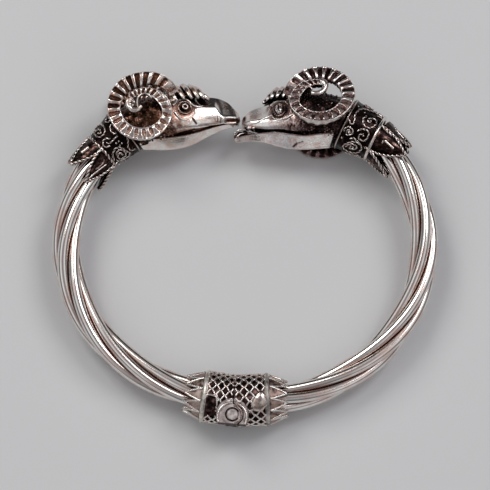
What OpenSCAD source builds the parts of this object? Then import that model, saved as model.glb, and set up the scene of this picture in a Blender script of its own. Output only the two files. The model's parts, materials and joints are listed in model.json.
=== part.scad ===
// Hinged ram's-head bangle in oxidised silver.
// Each half is a rope of twisted wires between a hinge barrel and a horned ram's head.
// It is drawn flat in its own plane, heads toward +Y and hinge toward -Y, then laid down to rest.

/* [Oval] */
// Half width of the oval that the ropes follow
oval_half_w = 31; // [29:0.1:33]
// Half height of that oval, from the hinge toward the heads
oval_half_h = 28; // [26:0.1:30]
// How much wider and taller the right half is bent than the left
right_spread = 0.4; // [0:0.1:0.8]
// Sideways shift of the right half's oval
right_shift_x = 2.2; // [1.8:0.1:2.6]
// Shift of the right half's oval toward the hinge
right_shift_y = 0.2; // [0:0.1:0.4]

/* [Rope] */
// Outer radius of the rope
rope_r = 2.48; // [2.3:0.01:2.6]
// Radius of one wire
strand_r = 0.885; // [0.8:0.005:0.885]
// Angle round the oval in which the rope twists one whole turn
twist_turn = 135; // [120:1:150]
// Sides of a wire
strand_sides = 8; // [6:1:10]

/* [Hinge] */
// Radius of the lattice-covered barrels
barrel_r = 4.55; // [4.3:0.05:4.8]
// Distance from the barrels' axis out to the pin
pin_offset = 3.1; // [2.9:0.05:3.3]
// Radius of the round hinge plate on top
plate_r = 2.85; // [2.6:0.05:3]
// Height of that plate above the bangle's middle plane
hinge_top = 4.6; // [4.5:0.05:4.7]
// Radius of the knuckles round the pin
knuckle_r = 1.85; // [1.75:0.05:1.9]
// Clearance between a knuckle and the other half
knuckle_gap = 0.2; // [0.15:0.01:0.25]
// Radius of the pin
pin_r = 0.6; // [0.5:0.05:0.7]
// Radius of the pin's riveted head
pin_head_r = 0.95; // [0.9:0.05:1]
// Running clearance round the pin
pin_clearance = 0.05; // [0.03:0.01:0.08]
// Gap between the two barrels
hinge_gap = 0.2; // [0.15:0.05:0.3]
// Leaves in the crown of each barrel
crown_leaves = 12; // [10:1:13]
// Diamonds round each barrel
lattice_round = 16; // [12:1:18]
// Depth of the diamonds between the lattice wires
lattice_depth = 0.25; // [0.2:0.01:0.3]

/* [Collars] */
// Usual length of the leaves that clasp the rope below each collar
collar_leaf_l = 5.8; // [5.2:0.1:6]
// Radius of the twisted wire rings
ring_wire_r = 0.35; // [0.3:0.01:0.4]
// Scroll rings round each collar
scroll_count = 8; // [6:1:10]

/* [Horns] */
// Ridges in one turn of a horn
horn_ridges = 22; // [18:1:26]
// Height of a horn's edges above its middle
horn_h = 0.9; // [0.8:0.05:1]

/* [Lying down] */
// Lift of the head end that lays it on its lower horns and its hinge
rest_tilt = 2.4; // [0:0.1:4]
// Height of the bangle's middle plane above the table at the oval's centre
rest_height = 5.95; // [5:0.01:8]

/* [Hidden] */
strand_count = 5;

$fn = 48;
LEFT = 0;
RIGHT = 1;
UP = [0, 0, 1];
seat = 0.06; // small gap between pieces that touch

// Shift that puts the origin under the middle of the lying bangle
plan_centre = [1.26, -0.64];

// Pin axis, and turn of the hinge in the bangle's plane
pin_at = [-1.0, -31.4];
hinge_turn = -5;
// One row a half: side, centre of its oval, half width, half height
OVALS = [
    [-1, [0, 0], oval_half_w, oval_half_h],
    [1, [right_shift_x, -right_shift_y], oval_half_w + right_spread, oval_half_h + right_spread]
];
// One row a half: oval angle of the collar's leaf ring, radius there, centre of the ring at the head,
// radius there
COLLARS = [
    [52.5, 3.35, [-20.56, 20.74], 4.45],
    [46, 3.95, [19.35, 22.3], 4.75]
];
// One row a leaf: half, angle of its middle from the top toward the outside, bend toward the inside,
// length beyond the usual, height of its tip over the rope
LEAVES = [
    [LEFT, 34, 2.5, 0, 0.8],
    [LEFT, -38, 1.5, 0.3, 1.1],
    [LEFT, 106, 6, -0.5, 0.8],
    [LEFT, 178, 8.5, -0.2, 0.8],
    [LEFT, -110, 13, 0, 1],
    [RIGHT, 64, 16, 0, 0.8],
    [RIGHT, -8, 4, 0.6, 0.8],
    [RIGHT, -80, 15, 0.5, 1.3],
    [RIGHT, 136, 15, 0, 0.8],
    [RIGHT, -152, 18, 0.4, 0.9]
];
// Angle that each leaf takes round its collar
leaf_spread = 72;
// Bend of the rope under a collar's leaves
leaf_bend = 5;
// One row a half: point of the muzzle, roll of the head about its length, place of the eye along and up it
MUZZLES = [
    [[0.18, 22.7], 5, [11.3, 3.05]],
    [[0.36, 21.2], -12, [11.7, 1.95]]
];
// One row a half: barrel's length from the gap to its ring, slope of its axis, twist of the rope at 0
// degrees, how far the rope lies across the barrel's mouth and how far it turns there, and the turn of
// the crown about the barrel
BARRELS = [
    [5.3, 4, -2 + 360 * 132.6 / twist_turn, 0, 4, -5],
    [6.0, 7, -5 - 360 * 122.2 / twist_turn, -0.36, -5.5, -9.5]
];
crown_l = 3.6;
crown_tip_r = 3.05;
// Heights of the hinge's parts: underside of the plate, knuckles of each half from end to end, pin's foot
plate_low = 1.5;
KNUCKLES = [
    [[2.4, hinge_top], [-3.3, 0.2]],
    [[0.2, 2.4]]
];
pin_low = -2.2;
// How far the plate and its knuckle reach outward past the pin
plate_flat = 1.6;
// Oval angles where each rope ends inside its collar and its barrel
ROPE_SPANS = [[50.4, 170.6], [44.2, 175.2]];

// Curves shared by the pieces
function unit(v) = v / norm(v);
function side(h) = OVALS[h][0];
function oval_point(h, a) = [
    OVALS[h][1].x + side(h) * OVALS[h][2] * sin(a),
    OVALS[h][1].y + OVALS[h][3] * cos(a),
    0
];
function oval_outward(h, a) = unit([side(h) * sin(a) / OVALS[h][2], cos(a) / OVALS[h][3], 0]);
function twist(h, a) = BARRELS[h][2] + side(h) * 360 * a / twist_turn;
function column(table, i) = [for (row = table) [row[0], row[i]]];
function planar(p) = [p.x, p.y, 0];
function heading(p, q) = atan2(q.y - p.y, q.x - p.x);

// Closed solid through a list of rings that all have the same number of points
module skin(rings) {
    n = len(rings[0]);
    last = (len(rings) - 1) * n;
    walls = [
        for (i = [0:len(rings) - 2], j = [0:n - 1])
            let (a = i * n + j, b = i * n + (j + 1) % n)
                each [[a, b + n, b], [a, a + n, b + n]]
    ];
    caps = [[for (j = [0:n - 1]) j], [for (j = [n - 1:-1:0]) last + j]];
    polyhedron([for (r = rings) each r], concat(walls, caps), convexity = 8);
}

// Lays a piece of the flat bangle down on the table
module lying() {
    translate([0, 0, rest_height])
        rotate([rest_tilt, 0, 0])
            translate([-plan_centre.x, -plan_centre.y, 0])
                children();
}

// One wire of a rope, wound round the oval
function strand_point(h, i, a) =
    let (t = twist(h, a) + 360 / strand_count * (i + 0.5))
    let (out = cos(t) * oval_outward(h, a) + sin(t) * UP)
    oval_point(h, a) + (rope_r - strand_r) * out;

function strand_ring(h, i, a) =
    let (t = twist(h, a) + 360 / strand_count * (i + 0.5))
    let (out = cos(t) * oval_outward(h, a) + sin(t) * UP)
    let (along = unit(strand_point(h, i, a + 0.1) - strand_point(h, i, a - 0.1)))
    let (across = unit(cross(along, out)))
    let (lift = cross(across, along))
    [for (k = [0:strand_sides - 1])
        strand_point(h, i, a) + strand_r * (cos(360 * k / strand_sides) * lift
            + sin(360 * k / strand_sides) * across)];

module strand(h, i) {
    span = ROPE_SPANS[h];
    steps = 26;
    color("silver")
        lying()
            skin([for (k = [0:steps]) strand_ring(h, i, span[0] + (span[1] - span[0]) * k / steps)]);
}

// Puts a head's own frame, muzzle along x and brow along y, in its place
module at_head(h) {
    ring = COLLARS[h][2];
    turn = heading(ring, MUZZLES[h][0]);
    translate(planar(ring))
        rotate([0, 0, side(h) < 0 ? turn : turn - 180])
            mirror([side(h) < 0 ? 0 : 1, 0, 0])
                rotate([MUZZLES[h][1], 0, 0])
                    children();
}

// Directions in the bangle's plane: along the head, along the collar, and along the rope at the foot
// of the collar
function head_turn(h) = (heading(COLLARS[h][2], MUZZLES[h][0]) + 360) % 360;
function collar_turn(h) = heading(oval_point(h, COLLARS[h][0]), COLLARS[h][2]);
function rope_turn(h) =
    let (a = COLLARS[h][0])
    atan2(OVALS[h][3] * sin(a), -side(h) * OVALS[h][2] * cos(a));
// Bend of the neck between a collar and its head, and of the rope where it leaves the collar
function neck_bend(h) = abs(collar_turn(h) - head_turn(h));
function foot_bend(h) = collar_turn(h) - rope_turn(h);

// Upper head, a row a section: place along the muzzle, top, widest height, bottom, half width
SKULLS = [
    [
        [3.6, 5.6, 0.5, -3.1, 4.7],
        [6.6, 6.1, 0.8, -2.7, 4.7],
        [9.4, 6.2, 0.9, -2.35, 4.3],
        [12, 5.5, 1.0, -1.9, 3.5],
        [14.6, 4.95, 1.0, -1.5, 2.6],
        [17.2, 4.5, 0.9, -1.0, 2.1],
        [19.1, 3.5, 0.8, -0.6, 1.75],
        [20.3, 2.1, 0.6, -0.45, 1.35],
        [20.85, 1.35, 0.4, -0.4, 1.1],
        [21.1, 0.85, 0.2, -0.4, 0.9]
    ],
    [
        [3.6, 5.7, 0.3, -3.6, 4.8],
        [6.6, 6.2, 0.6, -3.2, 4.7],
        [9.4, 6.2, 0.8, -2.8, 4.2],
        [12, 5.2, 0.8, -2.1, 3.4],
        [13.8, 4.25, 0.8, -1.7, 2.6],
        [15.6, 3.8, 0.7, -1.1, 2.1],
        [17, 3.3, 0.8, -0.6, 1.75],
        [17.9, 2.6, 0.9, -0.3, 1.35],
        [18.45, 2.2, 1.0, 0.1, 1.0],
        [18.7, 1.7, 1.1, 0.5, 0.7]
    ]
];
// Lower jaw, a row a section: place along the muzzle, top, bottom, half width
JAWS = [
    [
        [3.3, -1.4, -2.8, 1.6],
        [4.4, -1.6, -3.6, 2.6],
        [7.3, -1.6, -4.05, 2.9],
        [10.5, -1.5, -3.9, 2.7],
        [12.4, -1.3, -3.4, 2.4],
        [15.2, -0.8, -2.25, 1.9],
        [17.7, -0.4, -1.4, 1.5],
        [20.2, -0.3, -1.0, 1.15],
        [20.9, -0.35, -1.0, 0.9]
    ],
    [
        [3.1, -2.2, -3.8, 1.8],
        [4.3, -2.6, -4.6, 2.6],
        [7.6, -2.7, -4.6, 2.9],
        [10.7, -2, -4.25, 2.7],
        [12.8, -1.5, -3.6, 2.4],
        [14.9, -1.5, -2.85, 1.9],
        [17.3, -1.6, -2.4, 1.5],
        [19.6, -1.85, -2.5, 1.2],
        [20.3, -1.9, -2.25, 0.8]
    ]
];
// Curly forelock, a row a lock: place along the muzzle, height of its crest, half width
FORELOCKS = [
    [
        [8.8, 6.7, 2.7],
        [10.0, 7.4, 3.0],
        [11.2, 7.6, 3.1],
        [12.4, 7.1, 2.8],
        [13.5, 6.1, 2.2],
        [14.5, 4.8, 1.4]
    ],
    [
        [8.4, 6.8, 2.7],
        [9.5, 7.4, 3.0],
        [10.6, 7.4, 3.0],
        [11.7, 6.9, 2.6],
        [12.7, 5.9, 2.0],
        [13.6, 4.5, 1.3]
    ]
];
eye_r = 0.62;
eyelid_r = 1.25;

function egg_ring(row, n) = [
    for (k = [0:n - 1])
        let (t = 360 * k / n)
        [row[0], row[2] + cos(t) * (cos(t) > 0 ? row[1] - row[2] : row[2] - row[3]), row[4] * sin(t)]
];
function jaw_ring(row, n) = egg_ring([row[0], row[1], (row[1] + row[2]) / 2, row[2], row[3]], n);

// Ring of the head that lies against the slanted face of the collar, turned back by the head's roll
function neck_ring(h, n) =
    let (b = neck_bend(h), r = COLLARS[h][3] - 0.2, roll = MUZZLES[h][1])
    [for (k = [0:n - 1])
        let (t = 360 * k / n + roll)
        let (x = seat * cos(b) - r * cos(t) * sin(b))
        let (y = seat * sin(b) + r * cos(t) * cos(b))
        let (z = r * sin(t))
        [x, y * cos(roll) + z * sin(roll), z * cos(roll) - y * sin(roll)]];

module forelock(h) {
    dip = 0.6;
    gap = 0.5;
    widest = 3.6;
    underside = 2.6;
    skin([for (row = FORELOCKS[h], part = [0, 1])
        egg_ring([row[0] + part * gap, row[1] - part * dip, widest, underside, row[2] - part * dip], 12)]);
}

module eye() {
    lid_wire_r = 0.28;
    sphere(eye_r, $fn = 16);
    rotate_extrude($fn = 24)
        translate([eyelid_r, 0])
            circle(lid_wire_r, $fn = 14);
}

module head(h) {
    n = 18;
    eye_at = MUZZLES[h][2];
    eye_out = 3.4;
    eye_lean = [-18, 14, 0];
    color("silver")
        lying()
            at_head(h) {
                skin(concat([neck_ring(h, n)], [for (r = SKULLS[h]) egg_ring(r, n)]));
                skin([for (r = JAWS[h]) jaw_ring(r, 12)]);
                forelock(h);
                for (face = [1, -1])
                    mirror([0, 0, face < 0 ? 1 : 0])
                        translate([eye_at.x, eye_at.y, eye_out])
                            rotate(eye_lean)
                                eye();
                for (row = HORNS)
                    if (row[0] == h)
                        horn(row);
            }
}

// Horn seen from its side, a row a station: angle of the coil, radius of its middle, half width,
// lift off the head
HORN = [
    [18, 6.6, 0.9, -2.9],
    [30, 6.4, 1.05, -1.7],
    [45, 6.05, 1.15, -0.9],
    [62, 5.6, 1.22, -0.4],
    [90, 4.9, 1.3, 0],
    [135, 4.75, 1.3, 0.1],
    [180, 4.8, 1.22, 0.1],
    [270, 5.0, 1.15, 0],
    [360, 5.05, 1.0, 0],
    [395, 4.6, 0.85, 0],
    [425, 3.6, 0.72, 0.1],
    [455, 2.85, 0.64, 0.2],
    [500, 2.75, 0.56, 0.3],
    [545, 2.6, 0.48, 0.4],
    [590, 1.9, 0.4, 0.5],
    [625, 1.1, 0.22, 0.6]
];
// Depth of a horn's foot below its middle: toward the head it reaches the skull, and over the collar
// it stays clear
horn_foot = 1.15;
horn_foot_collar = 0.55;
// One row a horn: half, which face of the bangle, centre in the head's frame, size along x and y,
// lean outward
HORNS = [
    [LEFT, 1, [3.4, 3.65, 5.45], [1, 1], -2],
    [LEFT, -1, [3.4, 3.65, 5.45], [1, 1], -2],
    [RIGHT, 1, [4.2, 3.25, 5.6], [1.03, 0.95], -8],
    [RIGHT, -1, [4.2, 1.85, 5.48], [1.03, 0.95], -8]
];

// Cross-section of a horn at one angle: two edges with a floor between, high on a ridge, low in a groove
function horn_ring(a, ridge) =
    let (r = lookup(a, column(HORN, 1)), w = lookup(a, column(HORN, 2)), z = lookup(a, column(HORN, 3)))
    let (top = horn_h * min(1, w), floor_z = top * (ridge ? 0.9 : 0.25))
    let (foot = -(a > 120 && a < 262 ? horn_foot_collar : horn_foot))
    let (inner_side = [[-1, foot], [-1, top], [-0.7, top], [-0.5, floor_z]])
    let (outer_side = [[0.5, floor_z], [0.7, top], [1, top], [1, foot]])
    [for (p = concat(inner_side, outer_side))
        [(r + w * p.x) * cos(a), (r + w * p.x) * sin(a), z + p.y]];

module horn(row) {
    step = 180 / horn_ridges;
    first = HORN[0][0];
    last = HORN[len(HORN) - 1][0];
    count = floor((last - first) / step);
    mirror([0, 0, row[1] < 0 ? 1 : 0])
        translate(row[2])
            rotate([row[4], 0, 0])
                scale([row[3].x, row[3].y, 1])
                    skin([for (k = [0:count]) horn_ring(first + k * step, k % 2 == 0)]);
}

// Puts a frame with z from the leaf ring toward the head ring at a collar's leaf ring
module at_collar(h) {
    foot = oval_point(h, COLLARS[h][0]);
    translate(foot)
        rotate([0, 0, heading(foot, COLLARS[h][2])])
            rotate([0, 90, 0])
                children();
}

// Crown of leaves: a thin cone from z = 0 down to z = -l, with curved wedges cut away between the leaves
module leaf_crown(count, r_ring, r_tip, l, wall, leaf_curve) {
    base = 1.05 * PI * (r_ring + r_tip) / count;
    steps = 4;
    difference() {
        rotate_extrude()
            polygon([[r_ring - wall, 0.3], [r_ring, 0.3], [r_ring, 0], [r_tip, -l], [r_tip - wall, -l]]);
        for (k = [0:count - 1])
            rotate([90, 0, 360 * (k + 0.5) / count])
                linear_extrude(r_ring + 2)
                    polygon([for (i = [-steps:steps])
                        [sign(i) * base / 2 * pow(abs(i) / steps, leaf_curve), -0.4 - l * abs(i) / steps]]);
    }
}

// Leaf of a collar, its middle toward +x: a piece of a thin cone from its root in the collar down to
// z = -l, cut to a rounded point
module leaf(r_ring, r_tip, l) {
    root = 1.5;
    wall = 0.5;
    shoulder = 0.4;
    steps = 6;
    half_w = r_ring * sin(leaf_spread / 2);
    near_edge = [for (i = [0:steps])
        [half_w * (1 - pow(i / steps, 2)), -shoulder - (l - shoulder) * i / steps]];
    far_edge = [for (i = [steps - 1:-1:0]) [-near_edge[i].x, near_edge[i].y]];
    intersection() {
        rotate_extrude()
            polygon([[r_ring - wall, root], [r_ring - 0.1, root], [r_ring, 0],
                [r_tip, -l], [r_tip - wall, -l]]);
        rotate([90, 0, 90])
            linear_extrude(r_ring + 2)
                polygon(concat([[half_w, root]], near_edge, far_edge, [[-half_w, root]]));
    }
}

// Rope's way out of a collar: first as the rope runs at the collar's foot, then bent on under the leaves
module rope_way(h) {
    socket = 1.6;
    clearance = 0.15;
    rotate([foot_bend(h), 0, 0])
        translate([0, 0, -1])
            cylinder(r = rope_r + clearance, h = 1 + socket);
    rotate([foot_bend(h) + side(h) * leaf_bend, 0, 0])
        translate([0, 0, -collar_leaf_l - 1])
            cylinder(r = rope_r + clearance, h = collar_leaf_l + 1);
}

// Scroll on a collar: a raised ring, sunk into the cone by its floor
module scroll() {
    outer_r = 0.9;
    inner_r = 0.55;
    floor_h = 0.3;
    difference() {
        cylinder(r = outer_r, h = 0.62, $fn = 24);
        translate([0, 0, floor_h])
            cylinder(r = inner_r, h = 1, $fn = 24);
    }
}

module collar(h) {
    foot = oval_point(h, COLLARS[h][0]);
    l = norm(planar(COLLARS[h][2]) - foot);
    r0 = COLLARS[h][1];
    r1 = COLLARS[h][3];
    slope = atan2(r1 - r0, l);
    lower_row = 0.3;
    upper_row = 0.68;
    color("dimgray")
        lying()
            at_collar(h)
                difference() {
                    union() {
                        rotate_extrude()
                            union() {
                                polygon([[0, 0], [r0, 0], [r1, l], [0, l]]);
                                translate([r0, 0])
                                    circle(ring_wire_r, $fn = 16);
                                translate([r1 - 0.1, l - ring_wire_r])
                                    circle(ring_wire_r, $fn = 16);
                            }
                        for (row = LEAVES)
                            if (row[0] == h)
                                rotate([side(h) * row[2], 0, 0])
                                    rotate([0, 0, 180 + side(h) * row[1]])
                                        leaf(r0, rope_r + row[4], collar_leaf_l + row[3]);
                        for (k = [0:scroll_count - 1], row = [lower_row, upper_row])
                            rotate([0, 0, 360 * (k + (row == upper_row ? 0.5 : 0)) / scroll_count])
                                translate([r0 + row * (r1 - r0) - 0.3, 0, l * row])
                                    rotate([0, 90 - slope, 0])
                                        scroll();
                    }
                    rope_way(h);
                }
}

// Puts the hinge's own frame, pin axis along z and the gap in the plane x = 0, in its place
module at_hinge() {
    translate(planar(pin_at))
        rotate([0, 0, hinge_turn])
            children();
}

// Frame of a barrel: z runs from the gap outward along the barrel
module at_barrel(h) {
    translate([0, pin_offset, 0])
        rotate([0, 0, side(h) < 0 ? 180 - BARRELS[h][1] : BARRELS[h][1]])
            rotate([0, 90, 0])
                children();
}

// Knuckles of one half, or with grow the room that they need in the other
module knuckles(h, grow) {
    end_gap = 0.05;
    for (span = KNUCKLES[h])
        translate([0, 0, span[0] + end_gap - grow / 2])
            cylinder(r = knuckle_r + grow, h = span[1] - span[0] - 2 * end_gap + grow);
}

// Everything inside the barrel and the plate, which the knuckles are filed flush with
module hinge_envelope(h) {
    at_barrel(h)
        translate([0, 0, -4])
            cylinder(r = barrel_r + 0.05, h = 8);
    translate([-5, -plate_flat, plate_low])
        cube([10, 10, 10]);
}

module half_plate(h) {
    rim_w = 0.45;
    rim_h = 0.15;
    intersection() {
        difference() {
            translate([0, 0, plate_low])
                cylinder(r = plate_r, h = hinge_top - plate_low);
            translate([0, 0, hinge_top - rim_h])
                cylinder(r = plate_r - rim_w, h = 1);
        }
        translate([side(h) < 0 ? -10 : 0, -plate_flat, 0])
            cube([10, 10, 10]);
    }
}

module lattice(h) {
    l = BARRELS[h][0] - ring_wire_r;
    columns = 3;
    pitch = l / columns;
    around = 2 * PI * barrel_r / lattice_round;
    wire = 0.36;
    half_l = pitch / 2 - wire;
    half_w = around / 2 - wire * 0.8;
    for (row = [0:2 * columns - 2], k = [0:lattice_round - 1])
        rotate([0, 0, 360 * (k + (row % 2) / 2) / lattice_round])
            translate([barrel_r - lattice_depth, 0, pitch * (row + 1) / 2])
                rotate([0, 90, 0])
                    linear_extrude(1)
                        polygon([[-half_l, 0], [0, -half_w], [half_l, 0], [0, half_w]]);
}

module hinge_barrel(h) {
    l = BARRELS[h][0];
    other = h == LEFT ? RIGHT : LEFT;
    bore_r = pin_r + pin_clearance;
    head_depth = 0.4;
    color("dimgray")
        lying()
            at_hinge()
                difference() {
                    union() {
                        difference() {
                            union() {
                                intersection() {
                                    at_barrel(h)
                                        difference() {
                                            union() {
                                                translate([0, 0, -1])
                                                    cylinder(r = barrel_r, h = l + 1);
                                                translate([0, 0, l])
                                                    rotate_extrude()
                                                        translate([barrel_r - 0.1, 0])
                                                            circle(ring_wire_r, $fn = 16);
                                                translate([0, 0, l])
                                                    mirror([0, 0, 1])
                                                        rotate(BARRELS[h][5])
                                                            leaf_crown(crown_leaves, barrel_r - 0.15,
                                                                crown_tip_r, crown_l, 0.45, 1.4);
                                            }
                                            lattice(h);
                                            translate([0, BARRELS[h][3], l])
                                                rotate([BARRELS[h][4], 0, 0])
                                                    translate([0, 0, -1.5])
                                                        cylinder(r = rope_r + 0.2, h = 10);
                                        }
                                    translate([side(h) < 0 ? -20 - hinge_gap / 2 : hinge_gap / 2, -10, -10])
                                        cube([20, 20, 20]);
                                }
                                translate([side(h) * hinge_gap / 2, 0, 0])
                                    half_plate(h);
                            }
                            knuckles(other, knuckle_gap);
                        }
                        intersection() {
                            knuckles(h, 0);
                            hinge_envelope(h);
                        }
                    }
                    translate([0, 0, pin_low - pin_clearance])
                        cylinder(r = bore_r, h = 10);
                    if (h == LEFT)
                        translate([0, 0, hinge_top - head_depth])
                            cylinder(r = pin_head_r + 0.2, h = 1);
                }
}

module hinge_pin() {
    head_h = 0.3;
    color("gainsboro")
        lying()
            at_hinge() {
                translate([0, 0, pin_low])
                    cylinder(r = pin_r, h = hinge_top - 0.1 - pin_low);
                translate([0, 0, hinge_top - 0.05 - head_h])
                    cylinder(r = pin_head_r, h = head_h);
            }
}

head(LEFT);  // left_head
collar(LEFT);  // left_collar
hinge_barrel(LEFT);  // left_hinge_barrel
head(RIGHT);  // right_head
collar(RIGHT);  // right_collar
hinge_barrel(RIGHT);  // right_hinge_barrel
strand(LEFT, 0);  // left_strand_1
strand(LEFT, 1);  // left_strand_2
strand(LEFT, 2);  // left_strand_3
strand(LEFT, 3);  // left_strand_4
strand(LEFT, 4);  // left_strand_5
strand(RIGHT, 0);  // right_strand_1
strand(RIGHT, 1);  // right_strand_2
strand(RIGHT, 2);  // right_strand_3
strand(RIGHT, 3);  // right_strand_4
strand(RIGHT, 4);  // right_strand_5
hinge_pin();
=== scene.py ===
import json
import math

import bmesh
import bpy
from mathutils import Matrix, Vector, noise


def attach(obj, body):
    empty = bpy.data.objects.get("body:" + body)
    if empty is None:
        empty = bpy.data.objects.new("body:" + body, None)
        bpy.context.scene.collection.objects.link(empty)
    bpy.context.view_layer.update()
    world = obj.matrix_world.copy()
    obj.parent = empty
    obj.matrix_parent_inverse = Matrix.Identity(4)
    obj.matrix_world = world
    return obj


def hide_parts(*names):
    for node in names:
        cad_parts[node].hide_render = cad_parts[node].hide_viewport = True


# Hinged ram's-head bangle in oxidised silver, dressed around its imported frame.
# Everything is shaped in millimetres in the bangle's own flat plane, heads toward +Y,
# and layDown then tips each finished mesh onto the table with the frame.

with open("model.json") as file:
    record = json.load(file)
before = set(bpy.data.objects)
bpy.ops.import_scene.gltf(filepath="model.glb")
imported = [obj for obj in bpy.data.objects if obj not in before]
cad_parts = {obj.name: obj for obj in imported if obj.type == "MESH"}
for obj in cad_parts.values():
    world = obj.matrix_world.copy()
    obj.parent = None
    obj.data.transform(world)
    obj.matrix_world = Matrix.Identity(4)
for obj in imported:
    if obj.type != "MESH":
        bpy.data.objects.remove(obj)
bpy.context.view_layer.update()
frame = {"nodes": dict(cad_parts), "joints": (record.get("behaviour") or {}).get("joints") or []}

hinge = frame["joints"][0]
pinAt = Vector((-1.0, -31.4, 0))  # pin axis in the flat plane, mm
upAxis = -Vector(hinge["axis"])
restTilt = math.atan2(-upAxis.y, upAxis.z)
layDown = (Matrix.Translation(hinge["pos_m"]) @ Matrix.Rotation(restTilt, 4, "X")
           @ Matrix.Scale(0.001, 4) @ Matrix.Translation(-pinAt))
up = Vector((0, 0, 1))
fullTurn = 2 * math.pi

# one oval a half: side of the bangle, centre, half width, half height
ovals = {
    "left": {"side": -1, "centre": (0, 0), "halfW": 31, "halfH": 28},
    "right": {"side": 1, "centre": (2.2, -0.2), "halfW": 31.4, "halfH": 28.4},
}
halves = list(ovals)


def ovalPoint(half, degrees):
    oval, a = ovals[half], math.radians(degrees)
    return Vector((oval["centre"][0] + oval["side"] * oval["halfW"] * math.sin(a),
                   oval["centre"][1] + oval["halfH"] * math.cos(a), 0))


def ovalOutward(half, degrees):
    oval, a = ovals[half], math.radians(degrees)
    return Vector((oval["side"] * math.sin(a) / oval["halfW"], math.cos(a) / oval["halfH"], 0)).normalized()


def mix(a, b, t):
    return a + (b - a) * t


def ease(edge0, edge1, x):  # smooth step from 0 at edge0 to 1 at edge1
    t = min(1, max(0, (x - edge0) / (edge1 - edge0)))
    return t * t * (3 - 2 * t)


def hump(x, width):  # bell curve, 1 at 0
    return math.exp(-(x / width) ** 2)


def rowAt(rows, x):  # smooth row of a table at x, which is its first column
    last = len(rows) - 1
    x = min(max(x, rows[0][0]), rows[last][0])
    i = next(k for k in range(last) if x <= rows[k + 1][0])
    a, b = rows[i], rows[i + 1]
    before, after = rows[max(i - 1, 0)], rows[min(i + 2, last)]
    span = b[0] - a[0]
    t = (x - a[0]) / span
    made = []
    for k in range(1, len(a)):
        slopeA = (b[k] - before[k]) / (b[0] - before[0]) * span
        slopeB = (after[k] - a[k]) / (after[0] - a[0]) * span
        made.append((2 * t**3 - 3 * t**2 + 1) * a[k] + (t**3 - 2 * t**2 + t) * slopeA
                    + (3 * t**2 - 2 * t**3) * b[k] + (t**3 - t**2) * slopeB)
    return made


def smoothPath(corners, step, closed=False):  # even steps along a smooth curve through a few corners
    corners = [Vector(c) for c in corners]
    n = len(corners)
    fine = []
    for i in range(n if closed else n - 1):
        a, b, c, d = (corners[(i + k) % n] if closed else corners[min(max(i + k, 0), n - 1)]
                      for k in (-1, 0, 1, 2))
        for j in range(12):
            t = j / 12
            fine.append((2 * b + (c - a) * t + (2 * a - 5 * b + 4 * c - d) * t * t
                         + (3 * b - a - 3 * c + d) * t**3) / 2)
    fine.append(fine[0] if closed else corners[-1])
    reach = [0.0]
    for a, b in zip(fine, fine[1:]):
        reach.append(reach[-1] + (b - a).length)
    count = max(2, round(reach[-1] / step))
    made, k = [], 0
    for i in range(count + 1):
        want = reach[-1] * i / count
        while k < len(reach) - 2 and reach[k + 1] < want:
            k += 1
        gap = reach[k + 1] - reach[k]
        made.append(fine[k].lerp(fine[k + 1], (want - reach[k]) / gap if gap else 0))
    return made[:-1] if closed else made


def newMesh():  # an empty bmesh with the layer that says how polished each point is, and where shade is painted along the heads' mouths
    bm = bmesh.new()
    bm.verts.layers.float.new("polish")
    return bm


def sheet(bm, across, along, place):  # a grid whose points place(u, v) moves and polishes
    layer = bm.verts.layers.float["polish"]
    for vert in bmesh.ops.create_grid(bm, x_segments=across, y_segments=along, size=1)["verts"]:
        vert.co, vert[layer] = place((vert.co.x + 1) / 2, (vert.co.y + 1) / 2)


def wire(bm, path, radius, sides=6, polish=1.0, closed=False, pitch=0, taper=0):
    # a round wire along even points; with a pitch it is two wires twisted together,
    # and taper is the share of its radius that it loses by its end
    n = len(path)
    ends = [] if closed else [0, 0.75]
    rings = [(0, f) for f in ends] + [(i, 1) for i in range(n)] + [(n - 1, f) for f in reversed(ends)]
    if closed:
        rings.append((0, 1))
    tangents = []
    for i in range(n):
        before, after = (i - 1, (i + 1) % n) if closed else (max(i - 1, 0), min(i + 1, n - 1))
        tangents.append((path[after] - path[before]).normalized())
    lift = tangents[0].orthogonal().normalized()
    frames = []
    for i in range(n):
        lift = (lift - tangents[i] * lift.dot(tangents[i])).normalized()
        frames.append((lift.copy(), tangents[i].cross(lift)))
    step = (path[1] - path[0]).length
    turns = round(n * step / pitch) if pitch else 0

    def place(u, v):
        i, size = rings[round(v * (len(rings) - 1))]
        a = u * fullTurn
        out = frames[i][0] * math.cos(a) + frames[i][1] * math.sin(a)
        r, shine = radius * size * (1 - taper * i / n), polish
        if turns:
            lobe = math.cos(a - math.pi * turns * i / n) ** 2
            r *= 0.68 + 0.32 * lobe
            shine *= 0.3 + 0.7 * ease(0.1, 0.55, lobe)
        return path[i] + out * r, shine

    sheet(bm, sides, len(rings) - 1, place)


def ball(bm, around, high, matrix, place):  # a sphere whose points place(p) moves and polishes
    layer = bm.verts.layers.float["polish"]
    made = bmesh.ops.create_uvsphere(bm, u_segments=around, v_segments=high, radius=1, matrix=matrix)
    for vert in made["verts"]:
        vert.co, vert[layer] = place(vert.co.copy())


def bead(bm, centre, radius, polish=1.0, squash=1.0):
    ball(bm, 14, 8, Matrix.Translation(centre) @ Matrix.Diagonal((radius, radius, radius * squash, 1)),
         lambda p: (p, polish))


def shotGrain(bm, centre, size, polish):  # one of the tiny silver grains strewn on a dark ground
    layer = bm.verts.layers.float["polish"]
    matrix = Matrix.Translation(centre) @ Matrix.Scale(size, 4)
    for vert in bmesh.ops.create_icosphere(bm, subdivisions=1, radius=1, matrix=matrix)["verts"]:
        vert[layer] = polish


def drawn(corners, step, place):  # a smooth curve drawn on the surface that place(x, y) gives
    return [place(p.x, p.y) for p in smoothPath([(*corner, 0) for corner in corners], step)]


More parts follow.
